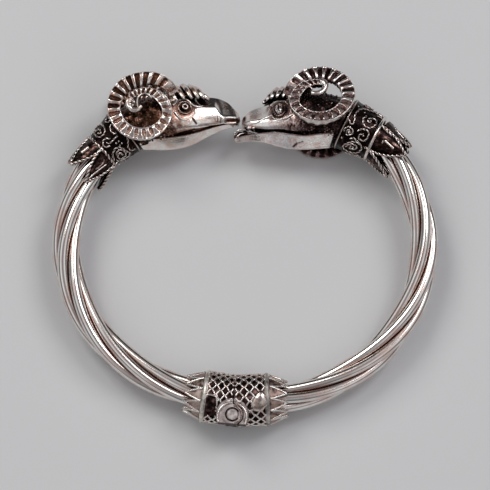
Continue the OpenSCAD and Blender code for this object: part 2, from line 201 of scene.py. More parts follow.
def pointedEdge(distances, spread, tip):  # down one side of a leaf, round its tip and up the other side
    side = [(d, spread(d)) for d in distances]
    return [(d, -a) for d, a in side] + [(tip, 0)] + [(d, a) for d, a in reversed(side)]


def roughened(p, size, seed=0.0):  # smooth noise from -1 to 1 with lumps of that size in mm
    return noise.noise(p / size + Vector((seed, seed * 1.7, seed * 0.6)))


def linear(hexColour):  # sRGB hex to the linear colour that a shader takes
    parts = [int(hexColour[k:k + 2], 16) / 255 for k in (1, 3, 5)]
    return [c / 12.92 if c <= 0.04045 else ((c + 0.055) / 1.055) ** 2.4 for c in parts] + [1]


def addNode(tree, kind, links=None, values=None, **settings):  # a link from a node takes its first output
    node = tree.nodes.new("ShaderNode" + kind)
    for name, value in settings.items():
        setattr(node, name, value)
    for name, value in (values or {}).items():
        node.inputs[name].default_value = value
    for name, source in (links or {}).items():
        tree.links.new(getattr(source, "outputs", (source,))[0], node.inputs[name])
    return node


def setRamp(ramp, colours):
    stops = ramp.color_ramp.elements
    for _ in colours[2:]:
        stops.new(0.5)
    for stop, (at, shade) in zip(stops, colours):
        stop.position = at
        stop.color = linear(shade)


def perMillimetre(size):  # texture scale, in repeats per metre, of a pattern of that size in mm
    return 1000 / size


def newMaterial(name):
    material = bpy.data.materials.new(name)
    material.use_nodes = True
    material.node_tree.nodes.clear()
    return material, material.node_tree


bumpDepth = 0.4  # height of the finest pits as a share of their width


def agedSilver(name, look):
    # worn silver: bright where hands and cloth rub it, through rose-brown tarnish to black sulphide in the
    # hollows, with painted shade along the heads' mouths; the mesh's own polish layer says which, and noise
    # breaks its edge
    material, tree = newMaterial(name)
    place = addNode(tree, "TexCoord").outputs["Object"]
    rubbed = addNode(tree, "Attribute", attribute_name="polish").outputs["Fac"]
    grain = addNode(tree, "TexNoise", {"Vector": place},
                    {"Scale": perMillimetre(look["grain"]), "Detail": 4, "Roughness": 0.65})
    clouds = addNode(tree, "TexNoise", {"Vector": place},
                     {"Scale": perMillimetre(look["clouds"]), "Detail": 2})
    broken = addNode(tree, "MapRange", {"Value": grain},
                     {"From Min": 0.3, "From Max": 0.7, "To Min": -look["patchy"],
                      "To Max": look["patchy"]}, clamp=False)
    worn = addNode(tree, "Math", {0: rubbed, 1: broken}, operation="ADD", use_clamp=True)
    colour = addNode(tree, "ValToRGB", {"Fac": worn})
    setRamp(colour, look["colours"])
    tintShare = addNode(tree, "MapRange", {"Value": clouds},
                        {"From Min": 0.42, "From Max": 0.68, "To Max": look["tintShare"]})
    tinted = addNode(tree, "MixRGB", {"Fac": tintShare, "Color1": colour}, {"Color2": linear(look["tint"])},
                     blend_type="MULTIPLY")
    rough = addNode(tree, "MapRange", {"Value": worn},
                    {"To Min": look["roughDark"], "To Max": look["roughBright"]})
    smear = addNode(tree, "Math", {0: clouds, 1: rough}, operation="MULTIPLY")
    smeared = addNode(tree, "Math", {0: smear, 1: rough, 2: smear}, operation="MULTIPLY_ADD")
    bump = addNode(tree, "Bump", {"Height": grain},
                   {"Strength": look["bump"], "Distance": 0.001 * look["grain"] * bumpDepth})
    finishMetal(tree, tinted, smeared, bump)
    return material


def finishMetal(tree, colour, roughness, bump):
    shader = addNode(tree, "BsdfPrincipled", {"Base Color": colour, "Roughness": roughness, "Normal": bump},
                     {"Metallic": 1.0})
    addNode(tree, "OutputMaterial", {"Surface": shader})


def finishPiece(bm, name, material, half, nodes=()):
    # closes a mesh, lays it on the table with the frame, and hands it to the body that carries it
    bmesh.ops.remove_doubles(bm, verts=bm.verts, dist=0.0005)
    bmesh.ops.dissolve_degenerate(bm, edges=bm.edges, dist=0.0002)
    bmesh.ops.recalc_face_normals(bm, faces=bm.faces)
    bmesh.ops.transform(bm, matrix=layDown, verts=bm.verts)
    mesh = bpy.data.meshes.new(name)
    bm.to_mesh(mesh)
    bm.free()
    mesh.shade_smooth()
    mesh.materials.append(material)
    piece = bpy.data.objects.new(name, mesh)
    bpy.context.scene.collection.objects.link(piece)
    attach(piece, half + "_half")
    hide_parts(*nodes)
    print(name, len(mesh.polygons), "faces")
    return piece


# Camera, table and light
view = {
    "distance": 0.9,  # m, as from a camera held high up
    "elevation": 77.6,  # degrees above the table
    "target": (0.0, 0.00064, 0.00598),
    "frameWidth": 0.0882,  # m that the picture is wide at the target
    "sensor": 36,
}


def placeCamera():
    camera = bpy.data.objects.new("camera", bpy.data.cameras.new("camera"))
    bpy.context.scene.collection.objects.link(camera)
    a = math.radians(view["elevation"])
    back = Vector((0, -math.cos(a), math.sin(a)))
    camera.location = Vector(view["target"]) + back * view["distance"]
    camera.rotation_euler = (-back).to_track_quat("-Z", "Y").to_euler()
    camera.data.sensor_width = view["sensor"]
    camera.data.lens = view["sensor"] * view["distance"] / view["frameWidth"]
    bpy.context.scene.camera = camera


studio = {
    "tableSize": 1.2,
    "tableColours": ["#D8D8D9", "#DEDEDE"],
    # sine of the height above the horizon, and the room's shade there: bright ceiling round a dim middle
    "sky": [
        (0.0, "#A2A2A4"), (0.14, "#868588"), (0.28, "#5C5A5D"), (0.42, "#646265"), (0.58, "#BEBFC2"),
        (0.72, "#EAEBED"), (0.88, "#DCDCDF"), (0.955, "#9A9496"), (1.0, "#8A8385"),
    ],
    "back": {"shade": 0.12, "toward": (0.22, 0.9)},  # light left at the back, and how it fades toward there
    # shade behind the camera: light left there, and how it fades in toward the viewer and out to each side
    "figure": {"shade": 0.35, "toward": (-0.3, -0.55), "aside": (0.28, 0.5)},
    # pale wall low behind the viewer: its light, and how it fades in downward and toward the viewer
    "front": {"light": 1.5, "height": (0.5, 0.3), "toward": (-0.5, -0.8)},
    # name, place in m, size in m, power in W, colour
    "softboxes": [
        ("windowLeft", (-0.3, 0.34, 0.62), (0.24, 0.4), 1.45, "#FFFEFA"),
        ("windowRight", (0.46, 0.36, 0.85), (0.25, 0.5), 2.2, "#FBFBFF"),
    ],
}


def buildTable():
    bm = bmesh.new()
    bmesh.ops.create_grid(bm, x_segments=24, y_segments=24, size=studio["tableSize"] / 2)
    mesh = bpy.data.meshes.new("tableTop")
    bm.to_mesh(mesh)
    bm.free()
    table = bpy.data.objects.new("tableTop", mesh)
    bpy.context.scene.collection.objects.link(table)
    material, tree = newMaterial("matt pale laminate")  # even, without gloss, faintly mottled
    place = addNode(tree, "TexCoord").outputs["Object"]
    mottle = addNode(tree, "TexNoise", {"Vector": place}, {"Scale": perMillimetre(60), "Detail": 3})
    shade = addNode(tree, "ValToRGB", {"Fac": mottle})
    setRamp(shade, list(enumerate(studio["tableColours"])))
    shader = addNode(tree, "BsdfPrincipled", {"Base Color": shade}, {"Roughness": 0.75})
    addNode(tree, "OutputMaterial", {"Surface": shader})
    mesh.materials.append(material)


def buildRoom():
    world = bpy.data.worlds.new("room")
    bpy.context.scene.world = world
    world.use_nodes = True
    tree = world.node_tree
    tree.nodes.clear()
    place = addNode(tree, "TexCoord").outputs["Generated"]
    direction = addNode(tree, "SeparateXYZ", {"Vector": place}).outputs
    back, figure, front = studio["back"], studio["figure"], studio["front"]

    def fade(source, span, there=1.0, here=0.0):  # goes from here to there over a span of directions
        return addNode(tree, "MapRange", {"Value": source},
                       {"From Min": span[0], "From Max": span[1], "To Min": here, "To Max": there})

    def times(a, b):
        return addNode(tree, "Math", {0: a, 1: b}, operation="MULTIPLY")

    ramp = addNode(tree, "ValToRGB", {"Fac": direction["Z"]})
    setRamp(ramp, studio["sky"])
    sideways = addNode(tree, "Math", {0: direction["X"]}, operation="ABSOLUTE")
    body = times(fade(direction["Y"], figure["toward"]), fade(sideways, figure["aside"], 0, 1))
    room = times(fade(direction["Y"], back["toward"], back["shade"], 1),
                 fade(body, (0, 1), figure["shade"], 1))
    wall = times(fade(direction["Z"], front["height"]), fade(direction["Y"], front["toward"]))
    lit = addNode(tree, "Math", {0: room, 1: fade(wall, (0, 1), front["light"])}, operation="ADD")
    sky = addNode(tree, "Background", {"Color": ramp, "Strength": lit})
    addNode(tree, "OutputWorld", {"Surface": sky})


def hangSoftboxes():
    for name, place, size, power, colour in studio["softboxes"]:
        lamp = bpy.data.lights.new(name, "AREA")
        lamp.shape = "RECTANGLE"
        lamp.size, lamp.size_y = size
        lamp.energy = power
        lamp.color = linear(colour)[:3]
        box = bpy.data.objects.new(name, lamp)
        box.location = place
        box.rotation_euler = (-Vector(place)).to_track_quat("-Z", "Y").to_euler()
        bpy.context.scene.collection.objects.link(box)


placeCamera()
buildTable()
buildRoom()
hangSoftboxes()
bpy.context.scene.view_settings.view_transform = "Standard"
print("studio ready")


# Ropes: five polished drawn wires wound round each side of the oval
rope = {
    "strands": 5,
    # inward shift of the rope, distance from its middle to a wire's middle, and radius of a wire
    "left": (0.17, 1.66, 0.985),
    "right": (0.1, 1.62, 0.958),
    "sides": 22,
    "rings": 190,
    "twistTurn": 135,  # degrees of the oval in which the rope turns once
    "start": {"left": -2 + 360 * 132.6 / 135, "right": -5 - 360 * 122.2 / 135},
    "span": {"left": (50.4, 170.6), "right": (44.2, 175.2)},
}
ropeLook = {
    "grain": 0.3, "clouds": 3.5, "patchy": 0.06, "bump": 0.03,
    "colours": [(0, "#3A2F2D"), (0.3, "#7E6C68"), (0.55, "#B5A49E"), (0.8, "#D8D0CA"), (1, "#EBE8E3")],
    "tint": "#EFD3CC", "tintShare": 0.7, "roughDark": 0.42, "roughBright": 0.24,
}


def buildRopes():
    # mirror-like where it stands out, rose tarnish in the grooves
    drawnSilver = agedSilver("polished drawn silver wire", ropeLook)
    for half in halves:
        side = ovals[half]["side"]
        first, last = rope["span"][half]
        inward, centreRadius, wireRadius = rope[half]

        def centre(strand, degrees):
            turn = math.radians(rope["start"][half] + side * 360 * degrees / rope["twistTurn"]
                                + 360 / rope["strands"] * (strand + 0.5))
            outward = ovalOutward(half, degrees)
            out = math.cos(turn) * outward + math.sin(turn) * up
            return ovalPoint(half, degrees) - inward * outward + centreRadius * out, out

        for strand in range(rope["strands"]):

            def place(u, v):
                degrees = mix(first, last, v)
                middle, out = centre(strand, degrees)
                along = (centre(strand, degrees + 0.1)[0] - centre(strand, degrees - 0.1)[0]).normalized()
                across = along.cross(out).normalized()
                a = u * fullTurn
                size = wireRadius if 0 < v < 1 else 0
                polish = 0.72 * ease(-0.62, 0.12, math.cos(a)) + 0.28 * ease(0, 0.6, math.cos(a))
                return middle + size * (math.cos(a) * across.cross(along) + math.sin(a) * across), polish

            bm = newMesh()
            sheet(bm, rope["sides"], rope["rings"], place)
            name = f"{half}_strand_{strand + 1}"
            finishPiece(bm, name + "_wire", drawnSilver, half, [name])


buildRopes()

# Collars that clasp the ropes below the heads
collars = {
    "left": {"footAt": 52.5, "footR": 3.35, "ring": (-20.56, 20.74), "ringR": 4.45},
    "right": {"footAt": 46, "footR": 3.95, "ring": (19.35, 22.3), "ringR": 4.75},
}
muzzles = {"left": ((0.18, 22.7), 5), "right": ((0.36, 21.2), -12)}  # point of the muzzle, roll of the head


def headMatrix(half):
    ring = collars[half]["ring"]
    point, roll = muzzles[half]
    turn = math.atan2(point[1] - ring[1], point[0] - ring[0])
    mirrored = half == "right"
    return (Matrix.Translation((*ring, 0)) @ Matrix.Rotation(turn - math.pi * mirrored, 4, "Z")
            @ Matrix.Diagonal((-1 if mirrored else 1, 1, 1, 1))
            @ Matrix.Rotation(math.radians(roll), 4, "X"))


# Heads, in their own frame: x along the muzzle, y toward the brow, z out of the bangle's faces
heads = {
    "left": {
        # place along the muzzle, top, widest height, bottom, half width
        "skull": [
            (3.6, 5.6, 0.5, -3.1, 4.7), (6.6, 6.1, 0.8, -2.7, 4.7), (9.4, 6.2, 0.9, -2.35, 4.3),
            (12, 5.5, 1.0, -1.9, 3.5), (14.6, 4.95, 1.0, -1.5, 2.6), (17.2, 4.5, 0.9, -1.0, 2.1),
            (19.1, 3.5, 0.8, -0.6, 1.75), (20.3, 2.1, 0.6, -0.45, 1.35), (20.85, 1.35, 0.4, -0.4, 1.1),
            (21.1, 0.85, 0.2, -0.4, 0.9),
        ],
        # place along the muzzle, top, bottom, half width
        "jaw": [
            (0.5, -1.3, -3.5, 3.2), (4.4, -1.6, -3.75, 3.1), (7.3, -1.6, -4.05, 2.9),
            (10.5, -1.5, -3.9, 2.7), (12.4, -1.3, -3.4, 2.4), (15.2, -0.8, -2.25, 1.9),
            (17.7, -0.4, -1.4, 1.5), (20.2, -0.3, -1.0, 1.15), (20.9, -0.35, -1.0, 0.9),
        ],
        # place along the muzzle, height of the crest, half width
        "locks": [
            (8.6, 6.9, 2.7), (9.9, 7.5, 3.0), (11.2, 7.7, 3.1), (12.4, 7.5, 2.9), (13.4, 6.95, 2.4),
            (14.2, 5.9, 1.7),
        ],
        # places along the muzzle where its facet begins and rules; and height of the facet's crease as a
        # share of the section's top, before and after two places
        "bevel": (12.4, 14.2),
        "crease": (0.5, 0.03, 16.6, 18.2),
        "eye": (11.3, 3.05),
        # dark strokes cut into the side: both ends, width, depth, darkness
        "strokes": [
            (12.5, 0.9, 13.1, 0.0, 0.13, 0.12, 1), (13.0, 1.15, 16.7, 0.55, 0.05, 0.02, 0.3),
            (18.7, 0.14, 21.2, 0.04, 0.36, 0.22, 0.9), (17.0, 1.05, 16.9, 0.0, 0.08, 0.05, 0.8),
            (17.6, 0.85, 17.4, -0.1, 0.08, 0.05, 0.8), (14.9, -0.35, 16.4, -0.75, 0.25, 0.04, 0.35),
            (2.2, -2.65, 7.1, -2.1, 0.32, 0.1, 1), (7.1, -2.1, 12.6, -0.97, 0.2, 0.08, 1),
            (12.6, -0.97, 17.9, -0.48, 0.12, 0.06, 1),
        ],
        "roughPatches": [(18.7, 2.75, 0.75), (20.1, 1.9, 0.45)],
        "horns": [(1, (3.4, 3.65, 5.45), (1, 1), -2), (-1, (3.4, 3.65, 5.45), (1, 1), -2)],
    },
    "right": {
        "skull": [
            (3.6, 5.7, 0.3, -3.6, 4.8), (6.6, 6.2, 0.6, -3.2, 4.7), (9.4, 6.2, 0.8, -2.8, 4.2),
            (12, 5.2, 0.8, -2.1, 3.4), (13.8, 4.25, 0.8, -1.7, 2.6), (15.6, 3.8, 0.7, -1.1, 2.1),
            (17, 3.3, 0.8, -0.6, 1.75), (17.9, 2.6, 0.9, -0.3, 1.35), (18.45, 2.2, 1.0, 0.1, 1.0),
            (18.7, 1.7, 1.1, 0.5, 0.7),
        ],
        "jaw": [
            (0.5, -2.7, -4.5, 3.2), (4.3, -2.6, -4.6, 3.1), (7.6, -2.7, -4.6, 2.9),
            (10.7, -2, -4.25, 2.7), (12.8, -1.5, -3.6, 2.4), (14.9, -1.5, -2.85, 1.9),
            (17.3, -1.6, -2.4, 1.5), (19.6, -1.85, -2.5, 1.2), (20.3, -1.9, -2.25, 0.8),
        ],
        "locks": [
            (8.4, 6.8, 2.7), (9.5, 7.4, 3.0), (10.6, 7.55, 3.0), (11.6, 7.5, 2.7), (12.4, 6.8, 2.2),
            (13.1, 5.6, 1.5),
        ],
        "bevel": (12.4, 14.4),
        "crease": (0.14, 0.05, 14, 17),
        "eye": (11.75, 2.02),
        "strokes": [
            (18.2, 1.2, 18.1, 1.9, 0.32, 0.16, 0.8), (16.65, -0.63, 16.7, -0.63, 0.16, 0.15, 1),
            (12.6, -1.7, 15.9, -1.25, 0.12, 0.05, 0.8), (5.0, -2.75, 9.0, -2.6, 0.25, 0.1, 1),
            (9.0, -2.6, 12.6, -1.7, 0.25, 0.1, 1),
        ],
        "roughPatches": [(9.6, -1.2, 1.6), (13.6, 3.2, 0.7)],
        "horns": [(1, (4.2, 3.25, 5.6), (1.03, 0.95), -8), (-1, (4.2, 1.85, 5.48), (1.03, 0.95), -8)],
    },
}
castLooks = {
    "left": {
        "grain": 0.22, "clouds": 1.6, "patchy": 0.2, "bump": 0.18,
        "colours": [(0, "#140F0C"), (0.25, "#4C3427"), (0.48, "#96766A"), (0.74, "#D0C4BC"), (1, "#EFECE8")],
        "tint": "#EBC4B2", "tintShare": 0.6, "roughDark": 0.5, "roughBright": 0.2,
    },
    "right": {
        "grain": 0.22, "clouds": 1.4, "patchy": 0.24, "bump": 0.2,
        "colours": [(0, "#0F0C0C"), (0.27, "#36292A"), (0.5, "#8B7470"), (0.76, "#CEC6C1"), (1, "#EEEBE8")],
        "tint": "#E6BDB0", "tintShare": 0.6, "roughDark": 0.5, "roughBright": 0.2,
    },
}


def facet(half, x, share):
    # half width, at a share of its height, of a muzzle with a flat facet up to its bridge; and how
    # much that facet rules there
    head = heads[half]
    crease = mix(*head["crease"][:2], ease(*head["crease"][2:], x))
    if share < crease:
        return 1 - 0.08 * (share / crease) ** 2, ease(*head["bevel"], x)
    return mix(0.92, 0.2, (share - crease) / (1 - crease)), ease(*head["bevel"], x)


def eggPoint(half, x, t):  # one point of the skull's egg-shaped section there, t round it from its top
    top, wide, bottom, halfW = rowAt(heads[half]["skull"], x)
    c, s = math.cos(t), math.sin(t)
    share, width = abs(c) ** 0.9, abs(s) ** 0.9
    if c > 0:
        flat, rule = facet(half, x, share)
        width = mix(width, flat * min(1, abs(s) / 0.12), rule)
    return wide + (top - wide if c > 0 else bottom - wide) * share, halfW * math.copysign(width, s)


def skullSide(half, x, y, lift=0.0, face=1):  # the point of the skull's side at that place and height
    top, wide, bottom, halfW = rowAt(heads[half]["skull"], x)
    share = (y - wide) / (top - wide if y > wide else wide - bottom)
    share = min(1, abs(share))
    width = math.sqrt(max(0, 1 - share ** (2 / 0.9))) ** 0.9
    if y > wide:
        width = mix(width, *facet(half, x, share))
    return Vector((x, y, face * (halfW * width + lift)))


def neckBend(half):
    info = collars[half]
    ring = Vector((*info["ring"], 0))
    return (ring - ovalPoint(half, info["footAt"])).angle(Vector((*muzzles[half][0], 0)) - ring)


def neckPoint(half, t):  # edge of the neck where it meets the collar's slanted ring
    neck = neckBend(half)
    roll = math.radians(muzzles[half][1])
    gap, inset = 0.06, 0.2  # ahead of the ring's middle, and inside its edge
    r = collars[half]["ringR"] - inset
    a = t + roll
    x = gap * math.cos(neck) - r * math.cos(a) * math.sin(neck)
    y = gap * math.sin(neck) + r * math.cos(a) * math.cos(neck)
    z = r * math.sin(a)
    return Vector((x, y * math.cos(roll) + z * math.sin(roll), z * math.cos(roll) - y * math.sin(roll)))


skullShape = {"around": 96, "along": 190, "neckShare": 0.16, "tip": 0.3}


def skullPoint(half, v, t):  # v runs from the neck to the muzzle, t round the head from its top
    rows, share = heads[half]["skull"], skullShape["neckShare"]
    start, end = rows[0][0], rows[-1][0]
    if v < share:
        y, z = eggPoint(half, start, t)
        return neckPoint(half, t).lerp(Vector((start, y, z)), v / share)
    x = mix(start, end, (v - share) / (1 - share))
    y, z = eggPoint(half, x, t)
    p = Vector((x, y, z))
    if x > end - skullShape["tip"]:  # the muzzle's tip is rounded off
        centre = Vector((x, rowAt(rows, x)[1], 0))
        p = centre + (p - centre) * math.sqrt(max(0, 1 - ease(end - skullShape["tip"], end, x) ** 2.2))
    return p


def strokeShare(p, x0, y0, x1, y1, width):  # 1 on a stroke's line, falling to 0 beyond its width
    start, reach = Vector((x0, y0)), Vector((x1 - x0, y1 - y0))
    flat = Vector((p.x, p.y))
    along = min(1, max(0, (flat - start).dot(reach) / reach.length_squared))
    return hump((flat - start - reach * along).length, width)


def skullSurface(half, p):  # polish of the skull there, and how far it stands out from its plain section
    head = heads[half]
    bottom = rowAt(head["skull"], p.x)[2]
    fromEye = math.hypot(p.x - head["eye"][0], p.y - head["eye"][1])
    onSide = ease(0.8, 1.8, abs(p.z))
    socket = hump(fromEye - 0.3, 1.5) * onSide
    cheek = hump(p.x - 13.2, 1.6) * hump(p.y + 0.4, 1.0) * onSide
    worn = ease(9.0, 12.4, p.x + 0.4 * p.y + 0.9 * roughened(p, 1.3, 7))  # polish fades toward the neck
    neck = ease(9.0, 6.0, p.x)
    crust = roughened(p, 0.35, 9)
    rough = max(hump(math.hypot(p.x - x, p.y - y), size) for x, y, size in head["roughPatches"])
    # the skull's lower edge over the jaw is painted darker along the mouth's crease: partly a dark joint,
    # partly painted shade
    mouthSeamAndShade = ease(0.5, 0.1, p.y - bottom) * ease(15, 12, p.x)
    mottle = 0.46 + 0.34 * roughened(p, 0.8, 3) - 0.3 * neck
    polish = mix(mottle, 0.97, worn) - 0.95 * socket - 0.6 * mouthSeamAndShade
    polish = mix(polish, 0.6 + 0.7 * crust, rough)
    lift = 0.2 * neck * roughened(p, 0.42, 3) + 0.05 * crust * max(1 - worn, rough)
    lift += 0.18 * cheek - 0.35 * socket
    for *line, depth, dark in head["strokes"]:
        share = strokeShare(p, *line) * ease(0.1, 0.6, abs(p.z))
        lift -= depth * share
        polish *= 1 - dark * share
    return polish, lift


def buildSkull(bm, half):
    def place(u, v):
        if v == 0:
            return Vector((0, 0, 0)), 0
        p = skullPoint(half, v, u * fullTurn)
        out = Vector((0, p.y - rowAt(heads[half]["skull"], p.x)[1], p.z))
        out = out.normalized() if out.length > 1e-6 else Vector((1, 0, 0))
        polish, lift = skullSurface(half, p)
        return p + out * lift, polish

    sheet(bm, skullShape["around"], skullShape["along"], place)


granuleShape = {
    "left": {"rows": 11, "around": 13, "size": 0.2, "shine": 0.28},
    "right": {"rows": 15, "around": 18, "size": 0.22, "shine": 0.16},
}


def buildGranules(bm, half, face):  # shot silver grains that cover the neck
    shape = granuleShape[half]
    for i in range(shape["rows"]):
        v = mix(0.03, 0.42, (i + 0.5) / shape["rows"])
        for j in range(shape["around"]):
            t = math.radians(mix(8, 152, (j + 0.5 * (i % 2)) / shape["around"])) * face
            p = skullPoint(half, v, t)
            wobble = Vector((roughened(p, 0.3, 1), roughened(p, 0.3, 4), 0)) * 0.14
            size = shape["size"] * (1 + 0.35 * roughened(p, 0.4, 8))
            shine = shape["shine"] + 0.3 * roughened(p, 0.5, 6) + 0.5 * max(0, roughened(p, 1.4, 12))
            shotGrain(bm, p + wobble, size, shine)


jawShape = {
    "around": 64,
    "along": 110,
    "slant": {"left": 0.68, "right": 0.86},  # share of its width that it loses by its underside
    # dark nicks in the underside: both ends, width, depth, darkness
    "nicks": {
        "left": [],
        "right": [(9.6, -4.15, 9.0, -3.9, 0.13, 0, 1), (9.0, -3.9, 7.9, -3.75, 0.05, 0, 0.8)],
    },
}


def buildJaw(bm, half):
    rows = heads[half]["jaw"]
    start, end = rows[0][0], rows[-1][0]
    slant = math.tan(neckBend(half))

    def place(u, v):
        x = mix(start, end, v)
        top, bottom, halfW = rowAt(rows, x)
        closing = math.sqrt(max(0, 1 - ease(end - 0.5, end, x) ** 2)) * (v > 0)
        wide = mix(top, bottom, 0.2)  # widest just below its top, then straight flanks that slant in
        c, s = math.cos(u * fullTurn), math.sin(u * fullTurn)
        if c > 0:
            y, z = mix(wide, top, c), halfW * math.copysign(abs(s) ** 0.7, s)
        else:
            y, z = mix(wide, bottom, -c), halfW * math.copysign(abs(s) ** 0.4, s)
            z *= 1 + jawShape["slant"][half] * c
        p = Vector((x, mix(wide, y, closing), z * closing))
        p.x = max(p.x, 0.45 - p.y * slant)  # cut off along the collar's slanted ring
        # above its widest line the jaw runs into the mouth's crease under the skull and is painted near
        # black: partly a dark joint, partly painted shade
        seamAndShade = ease(-0.12, 0.1, y - wide)
        polish = 0.98 - 0.95 * seamAndShade + 0.04 * roughened(p, 1.2, 11)
        for *line, depth, dark in jawShape["nicks"][half]:
            polish *= 1 - dark * strokeShare(p, *line)
        return p, polish

    sheet(bm, jawShape["around"], jawShape["along"], place)


lockShape = {
    "around": 24,
    "along": 48,
    "radius": 0.6,
    "reach": 84,  # degrees down each side of the brow
    "sweep": 1.5,  # mm that a curl's ends lie farther along the head than its crest
    "hairs": 3,
}


def buildForelock(bm, half):
    for x0, crest, halfW in heads[half]["locks"]:

        def middle(q):  # q runs from -1 on one side over the crest to 1 on the other
            t = math.radians(lockShape["reach"]) * q
            return Vector((x0 + 0.1 + lockShape["sweep"] * abs(q) ** 1.5,
                           4.0 + (crest - 4.5) * math.cos(t), halfW * 1.12 * math.sin(t)))

        def place(u, v):
            q = 2 * v - 1
            along = (middle(q + 0.01) - middle(q - 0.01)).normalized()
            p = middle(q)
            out = Vector((0, p.y - 2.2, p.z)).normalized()
            out = (out - along * out.dot(along)).normalized()
            across = along.cross(out)
            a = u * fullTurn
            hair = math.cos(a * lockShape["hairs"] * 2)
            r = lockShape["radius"] * math.sqrt(max(0, 1 - abs(q) ** 5))
            r *= (1 - 0.2 * abs(q)) * (1 + 0.1 * hair)
            shape = out * math.cos(a) + across * math.sin(a) * 0.95
            polish = ease(0.0, 0.75, math.cos(a)) * (0.85 + 0.15 * hair)
            return p + shape * r, polish

        sheet(bm, lockShape["around"], lockShape["along"], place)


hornShape = {
    # angle of the coil, radius of its middle, half width, lift off the head
    "rows": [
        (18, 6.6, 0.9, -2.9), (30, 6.4, 1.05, -1.7), (45, 6.05, 1.15, -0.9), (62, 5.6, 1.22, -0.4),
        (90, 4.9, 1.3, 0), (135, 4.75, 1.3, 0.1), (180, 4.8, 1.22, 0.1), (270, 5.0, 1.15, 0),
        (330, 5.05, 0.95, 0), (350, 4.7, 1.0, 0), (368, 4.15, 1.05, 0.05), (395, 3.5, 0.92, 0.2),
        (418, 3.07, 0.7, 0.3), (445, 2.72, 0.62, 0.3), (470, 2.55, 0.6, 0.3), (500, 2.45, 0.5, 0.2),
        (540, 2.5, 0.3, 0),
    ],
    "end": {"left": 530, "right": 464},
    "height": 0.9,
    "foot": 1.15,
    "footOverCollar": 0.55,
    "ribs": 22,  # in one turn
    "stepsARib": 14,
    "front": 26,  # steps across the coil's face, and across its back
    "back": 14,
    "pit": 0.3,  # radius of a pit between two ribs, as a share of their spacing
    "pitDepth": 0.5,
    "dull": {"left": 0.1, "right": 0.35},  # polish lost between the ribs of the coil's lower half
    "backShine": {"left": 0.8, "right": 0.5},
    "tuckedIn": {"left": 0, "right": 0.55},  # how far the coil's outer end is pressed toward its eye
}
# plain wires and curls in the eye of each horn: corners from its centre along the head, up it and
# outward; radius, share lost by its end, polish
hornCurls = {
    "left": [
        ([(-1.5, 1.4, 0.3), (-2.1, 1.4, 0.4), (-2.45, 0.7, 0.45), (-2.15, -0.1, 0.45), (-1.5, -0.65, 0.45)],
         0.33, 0, 1),
        ([(-2.1, 0.2, 0.4), (-1.7, -0.4, 0.45), (-1.0, -0.6, 0.5), (-0.4, -0.4, 0.5), (0.2, 0.1, 0.5)],
         0.55, 0.4, 1),
        ([(-0.5, -0.1, 0.6), (-0.55, 0.9, 0.85), (-0.2, 1.75, 0.95), (0.75, 2.25, 0.95), (1.6, 1.95, 0.9),
          (2.1, 1.3, 0.75)], 0.17, 0, 1),
        ([(-1.1, 0.75, 0.5), (-1.3, 1.1, 0.5), (-1.75, 1.15, 0.5), (-2.0, 0.7, 0.5), (-1.7, 0.3, 0.5),
          (-1.25, 0.45, 0.5)], 0.17, 0, 0.85),
    ],
    "right": [
        ([(-0.1, 2.9, 0.45), (-0.75, 2.6, 0.5), (-0.9, 1.8, 0.5), (-0.5, 0.9, 0.45), (0.3, 0.35, 0.5),
          (1.1, 0.3, 0.55), (1.6, 0.5, 0.55)], 0.66, 0.35, 0.95),
        ([(3.75, 0.1, 0.5), (3.7, 1.2, 0.6), (2.9, 1.95, 0.7), (1.95, 1.95, 0.7), (1.4, 1.2, 0.6)],
         0.13, 0, 1),
    ],
}


def hornFront(half, degrees, phase, t, r, w):  # over the coil's face: place across it, height and polish
    shape, share, a = hornShape, -math.cos(t), math.radians(degrees)
    inner = ease(385, 405, degrees)
    slot = max(inner, ease(25, 60, degrees) * ease(225, 185, degrees))  # long slots over the coil's top
    plain = 1 - slot
    low = mix(-0.45, mix(-0.5, -0.98, ease(165, 120, degrees) * (1 - inner)), slot)
    high = mix(0, 0.68 - 0.18 * inner, slot)
    beyond = max(0, low - share, share - high) * w
    spacing = math.radians(360 / shape["ribs"]) * r
    pitSize = shape["pit"] * mix(0.85, 1, slot) * spacing
    pit = ease(1.2, 0.5, math.hypot(beyond, phase * spacing) / pitSize)
    rim = hump(share - 0.9, 0.13) + hump(share + 0.9, 0.1) * plain
    groove = ease(0.25, 0.05, abs(phase)) * ease(0.1, 0.4, share) * plain * (1 - rim)
    height = shape["height"] * (max(0, math.sin(t)) ** 0.3 + 0.17 * rim)
    height -= pit * mix(0.35, shape["pitDepth"], slot) + 0.14 * groove
    floor = 0.2 + 0.3 * roughened(Vector((r * math.cos(a), r * math.sin(a), 0)), 1.1, 5) + 0.24 * plain
    shine = 0.93 + 0.07 * rim - shape["dull"][half] * plain * (1 - rim) - 0.3 * groove
    out = share + 0.03 * (ease(0.12, 0.42, abs(phase)) - 0.5) * ease(0.5, 1, share)
    return out, height * min(1, w), mix(shine, floor, pit)


def hornBack(half, degrees, phase, t):
    shape, rib = hornShape, ease(0.12, 0.42, abs(phase))
    overCollar = ease(112, 124, degrees) * ease(270, 258, degrees)
    foot = mix(shape["foot"], shape["footOverCollar"], overCollar)
    height = -foot * math.sin(t) ** 0.3 * mix(0.86, 1, rib)
    return math.cos(t) * mix(0.93, 1, rib), height, mix(0.15, shape["backShine"][half], rib)


